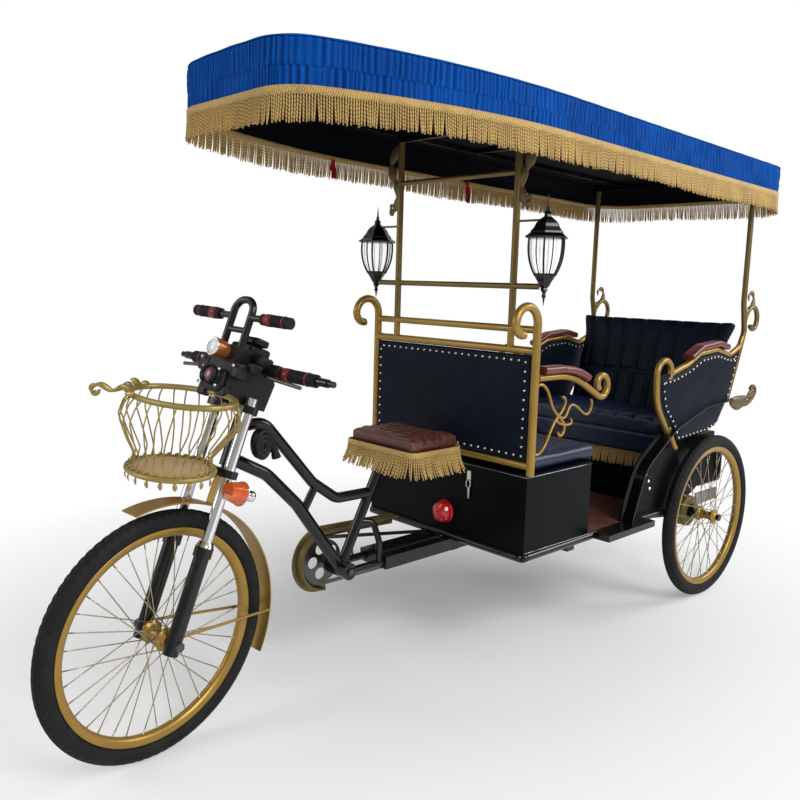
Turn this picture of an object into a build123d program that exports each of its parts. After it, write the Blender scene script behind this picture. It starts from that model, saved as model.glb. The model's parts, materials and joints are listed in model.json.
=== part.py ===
import os
from math import atan2, cos, degrees, radians, sin, sqrt

from build123d import *

os.makedirs("parts", exist_ok=True)

# Sizes in millimetres. X runs forward from the rear axle, Y to the left, Z up from the ground.
# Wheels
wheelbase = 2226.0
half_track = 375.0
tyre_radius = 330.0
tyre_section = 48.0
tyre_wall = 45.0
rim_depth = 23.0
rim_width = 30.0
spoke_count = 36
spoke_width = 2.2
hub_radius = 20.0
hub_flange_radius = 30.0
hub_flange_gap = 62.0
hub_flange_width = 6.0
spoke_circle = 25.0
spoke_crossings = 3
spoke_spread = 1.8
hub_width = 86.0
axle_radius = 8.0
fit_gap = 0.3

# Steering head and fork
rake = 20.9
steer_rest = 7.8
fork_offset = 45.0
leg_spacing = 130.0
stanchion_radius = 15.0
lower_radius = 20.0
lower_top = 250.0
lower_foot = -28.0
collar_height = 26.0
lower_crown_up = 432.0
upper_crown_up = 604.0
crown_thickness = 20.0
stanchion_top = 645.0
head_radius = 22.0
steerer_radius = 14.0

# Handlebars, in the steering frame: forward, side, up along the head axis
bar_forward = 20.0
bar_up = 727.0
bar_radius = 11.0
bar_half = 285.0
bar_plug = 20.0
bar_plug_radius = 8.0
grip_inner = 118.0
grip_outer = 245.0
grip_radius = 17.0
hoop_forward = 108.0
hoop_half = 36.0
hoop_top = 888.0
hoop_radius = 10.0
hoop_grip_up = 842.0
hoop_grip_inner = 84.0
hoop_grip_outer = 187.0
hoop_grip_radius = 15.0
hoop_socket = 22.0
hoop_bar_up = 806.0
console_half = 48.0
console_front = 126.0
console_top = 762.0

lamp_length = 40.0
lamp_radius = 22.0
lamp_up = 742.0
headlamp_up = 672.0
headlamp_radius = 22.0
headlamp_depth = 24.0
signal_up = 405.0
signal_side = 122.0
signal_radius = 31.0
signal_stalk = 6.0
signal_tail = 36.0
guard_radius = 350.0
guard_wall = 4.0
guard_width = 62.0
guard_front = 55.0
guard_rear = 184.0
guard_stay = 164.0
stay_radius = 4.0
stay_foot_up = 20.0
strap_half = 16.0
strap_offset = 30.0

# Basket rings, in the straight-ahead frame: rise above the axle, distance ahead of the head axis,
# half length and half width
basket_top_rise = 614.0
basket_top_ahead = 222.0
basket_top_long = 100.0
basket_top_wide = 165.0
basket_low_rise = 436.0
basket_low_ahead = 186.0
basket_low_long = 97.0
basket_low_wide = 124.0
basket_belly = 1.2
basket_wires = 24
basket_wire = 4.0
basket_band = 12.0
tray_thickness = 6.0
basket_arm_up = 470.0
basket_clamp = 18.0

# Canopy
canopy_overhang = 87.0
canopy_front = 2023.0
canopy_rear = -385.0
canopy_nose_half = 150.0
canopy_nose_radius = 150.0
canopy_taper_radius = 1800.0
canopy_rear_radius = 190.0
canopy_slope = 1.2
canopy_datum_x = 700.0
valance_bottom = 1653.0
valance_height = 100.0
canopy_crown = 22.0
canopy_wall = 8.0
canopy_ceiling = 84.0
fringe_drop = 84.0

# Front passenger panel and posts
panel_x = 1171.0
panel_half = 356.0
panel_top = 1043.0
panel_bottom = 688.0
panel_tube = 13.0
panel_board = 18.0
rail_low = 1107.0
rail_lantern = 1236.0
rail_top = 1575.0
post_half = 256.0
post_radius = 11.0
lantern_half = 372.0

lantern_top = 1372.0
lantern_foot = 1262.0
lantern_roof_radius = 76.0
lantern_rib_radius = 60.0
lantern_cup_radius = 32.0

lantern_stem = 7.0
roof_bar = 18.0
roof_front = 1900.0
roof_rear = -320.0
arm_z = 961.0
cap_thickness = 24.0
cap_width = 46.0

# Main frame: bottom bracket, seat, and tubes drawn in X and Z
bracket_x = 1624.0
bracket_z = 370.0
bracket_radius = 26.0
bracket_half = 48.0
spindle_radius = 9.0
head_low = 458.0
head_high = 598.0
frame_tube = 16.0
stay_tube = 12.0
rail_half = 42.0
rail_size = 40.0
rail_front = 1490.0
chain_side = 84.0
chain_width = 8.0
chain_height = 10.0
chainring_radius = 74.0
jackshaft_x = 1080.0
jackshaft_z = 326.0
jackshaft_radius = 36.0
seat_tube_x = 1466.0
seat_tube_bend = 60.0
seat_front = 1480.0
seat_rear = 1262.0
seat_half = 155.0
seat_top = 770.0
seat_thickness = 48.0
seat_fringe = 76.0
seat_pan = 14.0
fringe_cloth = 6.0

# Chain guard, battery and marker lamp
guard_gap = 14.0
guard_plate = 4.0
guard_run = 300.0
battery_half = 240.0
battery_gap = 60.0
battery_height = 190.0
marker_side = 20.0
marker_z = 476.0
marker_radius = 40.0
marker_depth = 32.0

# Horn and tail scrolls
horn_x = 1940.0
horn_side = 24.0
horn_z = 800.0
horn_radius = 46.0
horn_depth = 32.0
tail_radius = 8.0

# Carriage body
floor_top = 408.0
floor_thickness = 18.0
floor_half = 350.0
riser_thickness = 12.0
box_front = 1184.0
box_rear = 835.0
box_half = 356.0
box_top = 660.0
box_wall = 12.0
bench_rear = 775.0
bench_front = 1150.0
bench_half = 346.0
bench_top = 711.0
side_half = 363.0
side_board = 16.0
side_tube = 11.0
upper_rail_low = 470.0
upper_rail_half = 230.0
upper_rail_rear = -250.0
rear_base_front = 310.0
rear_base_rear = -110.0
base_gap = 33.0
rear_base_top = 660.0
rear_cushion_front = 330.0
rear_cushion_rear = -5.0
cushion_gap = 17.0
rear_cushion_top = 748.0
back_lean = 16.5
back_overlap = 17.0
rear_fringe_low = 540.0
rear_fringe_top = 612.0
back_thickness = 48.0
back_height = 470.0
rear_post_x = -205.0
fender_wall = 4.0
fender_inner = 352.0
fender_outer = 392.0
fender_bend = 150.0
fender_foot_x = 610.0
fender_tail_x = -118.0
axle_tube = 25.0
axle_tube_half = 325.0
motor_radius = 80.0
motor_half = 95.0
spring_half = 230.0
step_front = 800.0
step_rear = 500.0
step_outer = 420.0
spring_thickness = 14.0
spring_width = 40.0

# Derived places
tyre_ring = tyre_radius - tyre_section / 2
rim_outer = tyre_radius - tyre_wall
rake_sin = sin(radians(rake))
rake_cos = cos(radians(rake))
head_up = Vector(-rake_sin, 0, rake_cos)
head_forward = Vector(rake_cos, 0, rake_sin)
front_axle = Vector(wheelbase, 0, tyre_radius)
basket_top_z = tyre_radius + basket_top_rise
basket_low_z = tyre_radius + basket_low_rise
canopy_half = side_half + canopy_overhang
rear_cushion_half = side_half - cushion_gap
back_half = side_half + back_overlap
rear_base_half = side_half - base_gap
head_foot = front_axle - head_forward * fork_offset
steering_axis = Axis(head_foot, head_up)
axle_lean = rake_cos * sin(radians(steer_rest))
steered_axle_x = head_foot.X + fork_offset * rake_cos * cos(radians(steer_rest))
front_reach = steered_axle_x + tyre_ring * sqrt(1 - axle_lean**2) + tyre_section / 2
canopy_tilt = radians(canopy_slope)
canopy_peak = valance_height + canopy_crown
rear_run = (canopy_datum_x - canopy_rear) * cos(canopy_tilt)
rear_reach = canopy_datum_x - rear_run - canopy_peak * sin(canopy_tilt)
mid_x = (front_reach + rear_reach) / 2
rim_inner = rim_outer - rim_depth


def keep(piece, label, steered=False, at=(0, 0, 0)):
    # Sets a piece in its place, turns a steered one to its rest angle, centres the vehicle and writes it.
    solid = piece.part.moved(Location(at))
    if steered:
        solid = solid.rotate(steering_axis, steer_rest)
    solid = solid.moved(Location((-mid_x, 0, 0)))
    solid.label = label
    export_step(solid, f"parts/{label}.step")


def on_fork(forward, side, up):
    # A point of the straight-ahead steering frame, in the vehicle's frame.
    return head_foot + head_forward * forward + Vector(0, side, 0) + head_up * up


def fork_plane(forward, side, up):
    # A plane across the head axis.
    return Plane(on_fork(forward, side, up), x_dir=head_forward, z_dir=head_up)


def side_plane(side):
    # The lengthwise upright plane at a distance to the left, drawn in X and Z.
    return Plane.XZ.offset(-side)


def bent_tube(points, radius, bend=0):
    # A round bar along straight runs joined by tangent arcs.
    with BuildPart() as tube:
        with BuildLine() as path:
            if bend:
                FilletPolyline(*points, radius=bend)
            else:
                Line(*points)
        with BuildSketch(Plane(path.line @ 0, z_dir=path.line % 0)):
            Circle(radius)
        sweep()
    return tube.part


def scroll(plane, start, heading, steps, radius):
    # A round bar in a plane. Each step is a run's length or an arc's radius, and its turn in degrees.
    with BuildPart() as bar:
        with BuildLine(plane) as path:
            x, y = start
            for run, turn in steps:
                ahead = (cos(radians(heading)), sin(radians(heading)))
                if turn == 0:
                    Line((x, y), (x + run * ahead[0], y + run * ahead[1]))
                    x, y = x + run * ahead[0], y + run * ahead[1]
                else:
                    JernArc((x, y), ahead, run, turn)
                    side = 1 if turn > 0 else -1
                    centre = (x - side * run * ahead[1], y + side * run * ahead[0])
                    heading += turn
                    x = centre[0] + side * run * sin(radians(heading))
                    y = centre[1] - side * run * cos(radians(heading))
        with BuildSketch(Plane(path.line @ 0, z_dir=path.line % 0)):
            Circle(radius)
        sweep()
    return bar.part


def straight_bar(start, end, width):
    # A square bar from one point to another, such as a spoke or a basket wire.
    with BuildPart() as bar:
        with BuildSketch(Plane(start, z_dir=end - start)):
            Rectangle(width, width)
        extrude(amount=(end - start).length)
    return bar.part


def spoke_bars():
    # Half the spokes of each flange lean forward and half back, from either face of the flange.
    per_group = spoke_count // 4
    lean = spoke_crossings * 720 / spoke_count
    bars = []
    for side in (-1, 1):
        for group in (-1, 1):
            across = spoke_spread * (group + 2)
            for step in range(per_group):
                turn = 360 * step / per_group + group * 180 / spoke_count + side * 90 / spoke_count
                near = Vector(spoke_circle, side * (hub_flange_gap / 2 + group * hub_flange_width / 2), 0)
                far = Vector(rim_inner - fit_gap, side * across, 0)
                start = near.rotate(Axis.Y, turn)
                end = far.rotate(Axis.Y, turn + group * lean)
                bars.append(straight_bar(start, end, spoke_width))
    return bars


# Wheel: tyre, rim, and hub with its spokes, about a cross axle at the origin
with BuildPart() as tyre:
    with BuildSketch(Plane.XY):
        with Locations((tyre_ring, 0)):
            Circle(tyre_section / 2)
        Rectangle(2 * (rim_outer + fit_gap), tyre_section, mode=Mode.SUBTRACT)
    revolve(axis=Axis.Y)

with BuildPart() as rim:
    with BuildSketch(Plane.XY):
        with BuildLine():
            Polyline(
                (rim_inner, -rim_width / 4),
                (rim_inner + rim_depth / 3, -rim_width / 2),
                (rim_outer, -rim_width / 2),
                (rim_outer, rim_width / 2),
                (rim_inner + rim_depth / 3, rim_width / 2),
                (rim_inner, rim_width / 4),
                close=True,
            )
        make_face()
    revolve(axis=Axis.Y)

with BuildPart() as hub:
    with BuildSketch(Plane.XZ.offset(-hub_width / 2)):
        Circle(hub_radius)
    extrude(amount=hub_width)
    for side in (-1, 1):
        with BuildSketch(Plane.XZ.offset(side * hub_flange_gap / 2 - hub_flange_width / 2)):
            Circle(hub_flange_radius)
        extrude(amount=hub_flange_width)
    with BuildSketch(Plane.XZ.offset(-hub_width / 2)):
        Circle(axle_radius + fit_gap)
    extrude(amount=hub_width, mode=Mode.SUBTRACT)
    add(spoke_bars())

wheel_places = (
    ("front", front_axle, True),
    ("rear_left", Vector(0, half_track, tyre_radius), False),
    ("rear_right", Vector(0, -half_track, tyre_radius), False),
)
for wheel_name, wheel_centre, wheel_steered in wheel_places:
    keep(tyre, f"{wheel_name}_tyre", wheel_steered, wheel_centre)
    keep(rim, f"{wheel_name}_rim", wheel_steered, wheel_centre)
    keep(hub, f"{wheel_name}_hub", wheel_steered, wheel_centre)

# Fork: chrome stanchions, black lower legs, two crowns on the steerer and the wheel's axle
leg_sides = (-leg_spacing / 2, leg_spacing / 2)
with BuildPart() as stanchions:
    for side in leg_sides:
        with BuildSketch(fork_plane(fork_offset, side, lower_top)):
            Circle(stanchion_radius)
        extrude(amount=stanchion_top - lower_top)
keep(stanchions, "fork_stanchions", steered=True)

with BuildPart() as lowers:
    for side in leg_sides:
        with BuildSketch(fork_plane(fork_offset, side, lower_foot)):
            Circle(lower_radius)
        extrude(amount=lower_top - lower_foot)
        with BuildSketch(fork_plane(fork_offset, side, lower_top - collar_height)):
            Circle(lower_radius + 4)
        extrude(amount=collar_height)
        with BuildSketch(Plane(on_fork(fork_offset, side - lower_radius, 0), z_dir=(0, 1, 0))):
            Circle(axle_radius + fit_gap)
        extrude(amount=2 * lower_radius, mode=Mode.SUBTRACT)
keep(lowers, "fork_lower_legs", steered=True)

axle_half = leg_spacing / 2 + lower_radius + 10
with BuildPart() as front_axle_bar:
    with BuildSketch(Plane(on_fork(fork_offset, -axle_half, 0), z_dir=(0, 1, 0))):
        Circle(axle_radius)
    extrude(amount=2 * axle_half)
    for side in (-1, 1):
        nut_start = axle_half - 10 if side > 0 else -axle_half
        with BuildSketch(Plane(on_fork(fork_offset, nut_start, 0), z_dir=(0, 1, 0))):
            RegularPolygon(13, 6)
        extrude(amount=10)
keep(front_axle_bar, "front_axle", steered=True)

with BuildPart() as crowns:
    for up in (lower_crown_up, upper_crown_up):
        with BuildSketch(fork_plane(0, 0, up)):
            with Locations((fork_offset, leg_sides[0]), (fork_offset, leg_sides[1])):
                Circle(stanchion_radius + 10)
            Circle(steerer_radius + 12)
            make_hull()
            with Locations((fork_offset, leg_sides[0]), (fork_offset, leg_sides[1])):
                Circle(stanchion_radius + fit_gap, mode=Mode.SUBTRACT)
        extrude(amount=crown_thickness)
    with BuildSketch(fork_plane(0, 0, lower_crown_up)):
        Circle(steerer_radius)
    extrude(amount=upper_crown_up - lower_crown_up + crown_thickness)
keep(crowns, "fork_crowns", steered=True)

# Handlebar with the passenger hoop above it, on a clamp block that is the instrument console
console_base = upper_crown_up + crown_thickness
with BuildPart() as console:
    with BuildSketch(Plane(on_fork(0, console_half, 0), x_dir=head_forward, z_dir=(0, -1, 0))):
        with BuildLine():
            Polyline(
                (-24, console_base),
                (72, console_base),
                (console_front, console_base + 28),
                (console_front, console_top),
                (20, console_top),
                (-32, console_top - 60),
                close=True,
            )
        make_face()
    extrude(amount=2 * console_half)
    with BuildSketch(Plane(on_fork(bar_forward, -console_half - 1, bar_up), z_dir=(0, 1, 0))):
        Circle(bar_radius + fit_gap)
    extrude(amount=2 * console_half + 2, mode=Mode.SUBTRACT)
    for side in (-1, 1):
        with BuildSketch(fork_plane(hoop_forward, side * hoop_half, console_top - hoop_socket)):
            Circle(hoop_radius + fit_gap)
        extrude(amount=hoop_socket + 1, mode=Mode.SUBTRACT)
keep(console, "console", steered=True)

handlebar_points = (
    on_fork(bar_forward, -bar_half, bar_up),
    on_fork(bar_forward, bar_half, bar_up),
)
with BuildPart() as handlebar:
    add(bent_tube(handlebar_points, bar_radius))
    for side in (-1, 1):
        with BuildSketch(Plane(on_fork(bar_forward, side * bar_half, bar_up), z_dir=(0, side, 0))):
            Circle(bar_plug_radius)
        extrude(amount=bar_plug)
keep(handlebar, "handlebar", steered=True)

hoop_foot_up = console_top - hoop_socket
hoop_points = (
    on_fork(hoop_forward, -hoop_half, hoop_foot_up),
    on_fork(hoop_forward, -hoop_half, hoop_top),
    on_fork(hoop_forward, hoop_half, hoop_top),
    on_fork(hoop_forward, hoop_half, hoop_foot_up),
)
with BuildPart() as hoop:
    add(bent_tube(hoop_points, hoop_radius, bend=0.9 * hoop_half))
    for start, end, up, radius in (
        (-hoop_half, hoop_half, hoop_bar_up, hoop_radius - 2),
        (hoop_half, hoop_grip_outer, hoop_grip_up, hoop_radius - 1),
        (-hoop_half, -hoop_grip_outer, hoop_grip_up, hoop_radius - 1),
    ):
        add(bent_tube((on_fork(hoop_forward, start, up), on_fork(hoop_forward, end, up)), radius))
keep(hoop, "handlebar_hoop", steered=True)

with BuildPart() as grips:
    for forward, up, inner, outer, bore, outside in (
        (bar_forward, bar_up, grip_inner, grip_outer, bar_radius, grip_radius),
        (hoop_forward, hoop_grip_up, hoop_grip_inner, hoop_grip_outer, hoop_radius - 1, hoop_grip_radius),
    ):
        for side in (-1, 1):
            start = inner if side > 0 else -outer
            with BuildSketch(Plane(on_fork(forward, start, up), z_dir=(0, 1, 0))):
                Circle(outside)
                Circle(bore + fit_gap, mode=Mode.SUBTRACT)
            extrude(amount=outer - inner)
keep(grips, "grips", steered=True)

with BuildPart() as levers:
    for side in (-1, 1):
        lever_points = (
            on_fork(bar_forward + 16, side * (grip_inner - 34), bar_up - 12),
            on_fork(bar_forward + 44, side * (grip_inner - 8), bar_up - 22),
            on_fork(bar_forward + 38, side * (grip_outer - 10), bar_up - 30),
        )
        add(bent_tube(lever_points, 5, bend=14))
        clamp_start = grip_inner - 46 if side > 0 else -(grip_inner - 22)
        with BuildSketch(Plane(on_fork(bar_forward, clamp_start, bar_up), z_dir=(0, 1, 0))):
            Circle(bar_radius + 9)
            Circle(bar_radius + fit_gap, mode=Mode.SUBTRACT)
        extrude(amount=24)
keep(levers, "brake_levers", steered=True)

# Lamps on the steering: a barrel lamp above a round lamp, on the console's front
with BuildPart() as barrel_lamp:
    with BuildSketch(Plane(on_fork(console_front, 0, lamp_up), x_dir=(0, 1, 0), z_dir=head_forward)):
        Circle(lamp_radius)
    extrude(amount=lamp_length, taper=-4)
keep(barrel_lamp, "barrel_lamp", steered=True)

with BuildPart() as headlamp:
    with BuildSketch(Plane(on_fork(console_front, 0, headlamp_up), x_dir=(0, 1, 0), z_dir=head_forward)):
        Circle(headlamp_radius)
    extrude(amount=headlamp_depth, taper=-6)
keep(headlamp, "headlamp", steered=True)

# Turn signals: an orange lens on a stalk from the lower crown's clamp
with BuildPart() as signals:
    for side in (-1, 1):
        stalk_start = leg_spacing / 2 + stanchion_radius + fit_gap
        stalk_plane = Plane(on_fork(fork_offset, side * stalk_start, signal_up), z_dir=(0, side, 0))
        with BuildSketch(stalk_plane):
            Circle(signal_stalk)
        extrude(amount=signal_side - stalk_start)
        body_plane = Plane(
            on_fork(fork_offset - signal_tail, side * signal_side, signal_up),
            x_dir=(0, 1, 0),
            z_dir=head_forward,
        )
        with BuildSketch(body_plane):
            Circle(signal_stalk + 5)
        extrude(amount=signal_tail)
        with BuildSketch(body_plane.offset(signal_tail - 8)):
            Circle(signal_radius)
        extrude(amount=44, taper=12)
keep(signals, "turn_signals", steered=True)

# Front mudguard over the wheel, with its stays to the axle and its strap to the lower crown
guard_plane = Plane(front_axle, x_dir=head_forward, z_dir=(0, -1, 0))
with BuildPart() as front_guard:
    with BuildSketch(guard_plane.offset(-guard_width / 2)):
        Circle(guard_radius + guard_wall)
        Circle(guard_radius, mode=Mode.SUBTRACT)
        with BuildLine():
            reach = 2 * guard_radius
            Polyline(
                (0, 0),
                (reach * cos(radians(guard_front)), reach * sin(radians(guard_front))),
                (0, reach),
                (-reach, reach),
                (reach * cos(radians(guard_rear)), reach * sin(radians(guard_rear))),
                close=True,
            )
        make_face(mode=Mode.INTERSECT)
    extrude(amount=guard_width)
    strap_low = sqrt(guard_radius**2 - strap_half**2)
    with BuildSketch(fork_plane(fork_offset - strap_offset, 0, strap_low)):
        Rectangle(4, 2 * strap_half)
    extrude(amount=lower_crown_up - strap_low)
    for side in (-1, 1):
        stay_top = radians(guard_stay)
        stay_points = (
            on_fork(fork_offset - lower_radius - stay_radius - fit_gap, side * leg_spacing / 2, stay_foot_up),
            on_fork(
                fork_offset + (guard_radius + 2) * cos(stay_top),
                side * (guard_width / 2 - 3),
                (guard_radius + 2) * sin(stay_top),
            ),
        )
        add(bent_tube(stay_points, stay_radius))
keep(front_guard, "front_mudguard", steered=True)


# Basket: an oval cage of bowed wires between two flat rings, with a tray on the lower one
def head_x(z):
    # Where the head axis is at a height.
    return head_foot.X - (z - head_foot.Z) * rake_sin / rake_cos


basket_top = Vector(head_x(basket_top_z) + basket_top_ahead, 0, basket_top_z)
basket_low = Vector(head_x(basket_low_z) + basket_low_ahead, 0, basket_low_z)
with BuildPart() as basket:
    for centre, half_long, half_wide in (
        (basket_top, basket_top_long, basket_top_wide),
        (basket_low, basket_low_long, basket_low_wide),
    ):
        with BuildSketch(Plane(centre - Vector(0, 0, basket_band / 2))):
            Ellipse(half_long, half_wide)
            Ellipse(half_long - basket_band, half_wide - basket_band, mode=Mode.SUBTRACT)
        extrude(amount=basket_band)
    wires = []
    for step in range(basket_wires):
        turn = radians(360 * step / basket_wires)
        inset = basket_band / 2
        low = basket_low + Vector(
            (basket_low_long - inset) * cos(turn), (basket_low_wide - inset) * sin(turn), 0
        )
        top = basket_top + Vector(
            (basket_top_long - inset) * cos(turn), (basket_top_wide - inset) * sin(turn), 0
        )
        belly = (basket_low + basket_top * 2) * (1 / 3) + Vector(
            basket_belly * basket_top_long * cos(turn), basket_belly * basket_top_wide * sin(turn), 0
        )
        wires.append(straight_bar(low, belly, basket_wire))
        wires.append(straight_bar(belly, top, basket_wire))
    add(wires)
    # Two arms carry the basket from clamps on the stanchions.
    for side in (-1, 1):
        with BuildSketch(fork_plane(fork_offset, side * leg_spacing / 2, basket_arm_up)):
            Circle(stanchion_radius + 6)
        extrude(amount=basket_clamp)
        arm_back = (basket_low_long - basket_band / 2) * sqrt(1 - (leg_spacing / 2 / basket_low_wide) ** 2)
        arm_points = (
            basket_low + Vector(-arm_back, side * leg_spacing / 2, 0),
            on_fork(fork_offset, side * leg_spacing / 2, basket_arm_up + basket_clamp / 2),
        )
        add(bent_tube(arm_points, basket_wire))
        with BuildSketch(fork_plane(fork_offset, side * leg_spacing / 2, basket_arm_up - basket_clamp)):
            Circle(stanchion_radius + fit_gap)
        extrude(amount=3 * basket_clamp, mode=Mode.SUBTRACT)
keep(basket, "basket", steered=True)

with BuildPart() as tray:
    with BuildSketch(Plane(basket_low + Vector(0, 0, -tray_thickness / 2))):
        Ellipse(basket_low_long - basket_band - fit_gap, basket_low_wide - basket_band - fit_gap)
    extrude(amount=tray_thickness)
keep(tray, "basket_tray", steered=True)

# Main frame: head tube, bowed top and down tubes, seat tube with the seat's pan, bottom bracket and two stays
bracket = Vector(bracket_x, 0, bracket_z)
seat_low = seat_top - seat_thickness
seat_mid = (seat_front + seat_rear) / 2
seat_length = seat_front - seat_rear
seat_tube_points = (
    bracket,
    Vector(seat_tube_x, 0, seat_low - seat_pan - 30),
    Vector(seat_tube_x, 0, seat_low - seat_pan),
)


def from_bracket(*offsets):
    # Points of the frame's middle plane, from how far they are ahead of and above the bottom bracket.
    return [bracket + Vector(ahead, 0, above) for ahead, above in offsets]


head_top_joint = on_fork(0, 0, head_high - 30)
head_low_joint = on_fork(0, 0, head_low + 24)
frame_tubes = (
    # points, radius, bend
    ((head_top_joint, *from_bracket((281, 480), (111, 285), (21, 222), (-104, 220))), frame_tube, 55),
    ((head_low_joint, *from_bracket((271, 332), (166, 228), (0, 0))), frame_tube + 2, 110),
    (seat_tube_points, frame_tube, seat_tube_bend),
    (from_bracket((98, 275), (144, 200)), stay_tube, 0),
)
with BuildPart() as main_frame:
    for points, radius, bend in frame_tubes:
        add(bent_tube(points, radius, bend))
    for side in (-1, 1):
        stay_points = (
            Vector(bracket_x, side * rail_half, bracket_z),
            Vector(rail_front, side * rail_half, bracket_z),
        )
        add(bent_tube(stay_points, stay_tube))
    hoop_brace = (
        (1556, 0, 505),
        (1512, rail_half / 2, 500),
        (rail_front + 14, rail_half, 440),
        (rail_front + 14, rail_half, bracket_z),
    )
    add(bent_tube(hoop_brace, stay_tube - 2, 24))
    with BuildSketch(Plane.XZ.offset(-bracket_half)):
        with Locations((bracket_x, bracket_z)):
            Circle(bracket_radius)
    extrude(amount=2 * bracket_half)
    with BuildSketch(Plane.XZ.offset(-2 * bracket_half)):
        with Locations((bracket_x, bracket_z)):
            Circle(spindle_radius + fit_gap)
    extrude(amount=4 * bracket_half, mode=Mode.SUBTRACT)
    with BuildSketch(fork_plane(0, 0, head_low)):
        Circle(head_radius)
    extrude(amount=head_high - head_low)
    with BuildSketch(fork_plane(0, 0, head_low - 40)):
        Circle(steerer_radius + 1)
    extrude(amount=head_high - head_low + 80, mode=Mode.SUBTRACT)
    with BuildSketch(Plane.XY.offset(seat_low - seat_pan)):
        with Locations((seat_mid, 0)):
            RectangleRounded(seat_length - 20, 2 * seat_half - 20, 14)
    extrude(amount=seat_pan)
keep(main_frame, "main_frame")


def slab(low, high):
    # A plain block from one corner to the other.
    with BuildPart() as block:
        with BuildSketch(Plane.XY.offset(low[2])):
            with Locations(((low[0] + high[0]) / 2, (low[1] + high[1]) / 2)):
                Rectangle(high[0] - low[0], high[1] - low[1])
        extrude(amount=high[2] - low[2])
    return block.part


# Chassis: two low rails under the floor, an upright frame, and two upper rails over the rear axle
rail_top_z = floor_top - floor_thickness
rear_rail_top = upper_rail_low + rail_size
with BuildPart() as chassis:
    for side in (-1, 1):
        with BuildSketch(Plane.XY.offset(rail_top_z - rail_size)):
            with Locations(((rail_front + rear_base_front) / 2, side * rail_half)):
                Rectangle(rail_front - rear_base_front, rail_size)
        extrude(amount=rail_size)
        with BuildSketch(Plane.XY.offset(upper_rail_low)):
            with Locations(((rear_base_front + upper_rail_rear) / 2, side * upper_rail_half)):
                Rectangle(rear_base_front - upper_rail_rear, rail_size)
        extrude(amount=rail_size)
        with BuildSketch(Plane.XY.offset(rail_top_z - rail_size)):
            with Locations((rear_base_front - rail_size / 2, side * upper_rail_half)):
                Rectangle(rail_size, rail_size)
        extrude(amount=rear_rail_top - rail_top_z + rail_size)
    for low, across in ((rail_top_z - rail_size, upper_rail_half), (upper_rail_low, upper_rail_half)):
        with BuildSketch(Plane.XY.offset(low)):
            with Locations((rear_base_front - rail_size / 2, 0)):
                Rectangle(rail_size, 2 * across)
        extrude(amount=rail_size)
    with BuildSketch(Plane.XY.offset(upper_rail_low)):
        with Locations((upper_rail_rear + rail_size / 2, 0)):
            Rectangle(rail_size, 2 * upper_rail_half)
    extrude(amount=rail_size)
    for x in (box_rear + rail_size, rear_base_front + 6 * rail_size):
        with BuildSketch(Plane.XY.offset(rail_top_z - rail_size)):
            with Locations((x, 0)):
                Rectangle(rail_size, 2 * floor_half - 60)
        extrude(amount=rail_size)
    # The jackshaft's sprocket turns with the chain, on a hanger under the right rail.
    with BuildSketch(Plane.XZ.offset(chain_side - chain_width / 4)):
        with Locations((jackshaft_x, jackshaft_z)):
            Circle(jackshaft_radius - chain_height / 2 - fit_gap)
    extrude(amount=chain_width / 2)
    with BuildSketch(Plane.XZ.offset(rail_half - rail_size / 2)):
        with Locations((jackshaft_x, jackshaft_z)):
            Circle(spindle_radius)
    extrude(amount=chain_side + chain_width - rail_half + rail_size / 2)
    add(
        slab(
            (jackshaft_x - rail_size / 2, -rail_half - rail_size / 2, jackshaft_z - rail_size / 2),
            (jackshaft_x + rail_size / 2, -rail_half + rail_size / 2, rail_top_z - rail_size),
        )
    )
keep(chassis, "chassis")

# Crank spindle with its chainring, chain to the jackshaft under the floor, and the chain's guard
spider_hole = chainring_radius / 4
ring_edge = chainring_radius - chain_height / 2 - 1
with BuildPart() as chainring:
    with BuildSketch(Plane.XZ.offset(chain_side - chain_width / 4)):
        with Locations((bracket_x, bracket_z)):
            Circle(ring_edge)
            with PolarLocations(chainring_radius * 0.56, 5):
                Circle(spider_hole, mode=Mode.SUBTRACT)
    extrude(amount=chain_width / 2)
    with BuildSketch(Plane.XZ.offset(-bracket_half - 6)):
        with Locations((bracket_x, bracket_z)):
            Circle(spindle_radius)
    extrude(amount=bracket_half + 6 + chain_side + chain_width)
keep(chainring, "chainring")

with BuildPart() as chain:
    with BuildSketch(Plane.XZ.offset(chain_side - chain_width / 2)):
        for grow, mode in ((chain_height / 2, Mode.ADD), (-chain_height / 2, Mode.SUBTRACT)):
            with BuildSketch(mode=Mode.PRIVATE) as loop:
                with Locations((bracket_x, bracket_z)):
                    Circle(chainring_radius + grow)
                with Locations((jackshaft_x, jackshaft_z)):
                    Circle(jackshaft_radius + grow)
                make_hull()
            add(loop.sketch, mode=mode)
    extrude(amount=chain_width)
keep(chain, "drive_chain")

guard_ring = chainring_radius + guard_gap
guard_top = bracket_z + guard_ring + guard_plate / 2
with BuildPart() as chain_guard:
    with BuildSketch(Plane.XZ.offset(chain_side - 2 * chain_width)):
        with Locations((bracket_x, bracket_z)):
            Circle(guard_ring + guard_plate)
            Circle(guard_ring, mode=Mode.SUBTRACT)
        with Locations((bracket_x - guard_ring, bracket_z)):
            Rectangle(2 * guard_ring, 4 * guard_ring, mode=Mode.SUBTRACT)
        with Locations((bracket_x - guard_run / 2, guard_top)):
            Rectangle(guard_run + 4 * guard_plate, guard_plate)
    extrude(amount=4 * chain_width)
    bracket_foot = Vector(bracket_x - guard_ring, -rail_half, bracket_z)
    bracket_tip = Vector(bracket_x - guard_ring, -chain_side + 1.75 * chain_width, guard_top)
    bracket_way = (bracket_tip - bracket_foot).normalized()
    add(bent_tube((bracket_foot + bracket_way * (stay_tube + fit_gap), bracket_tip), guard_plate))
keep(chain_guard, "chain_guard")

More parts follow.
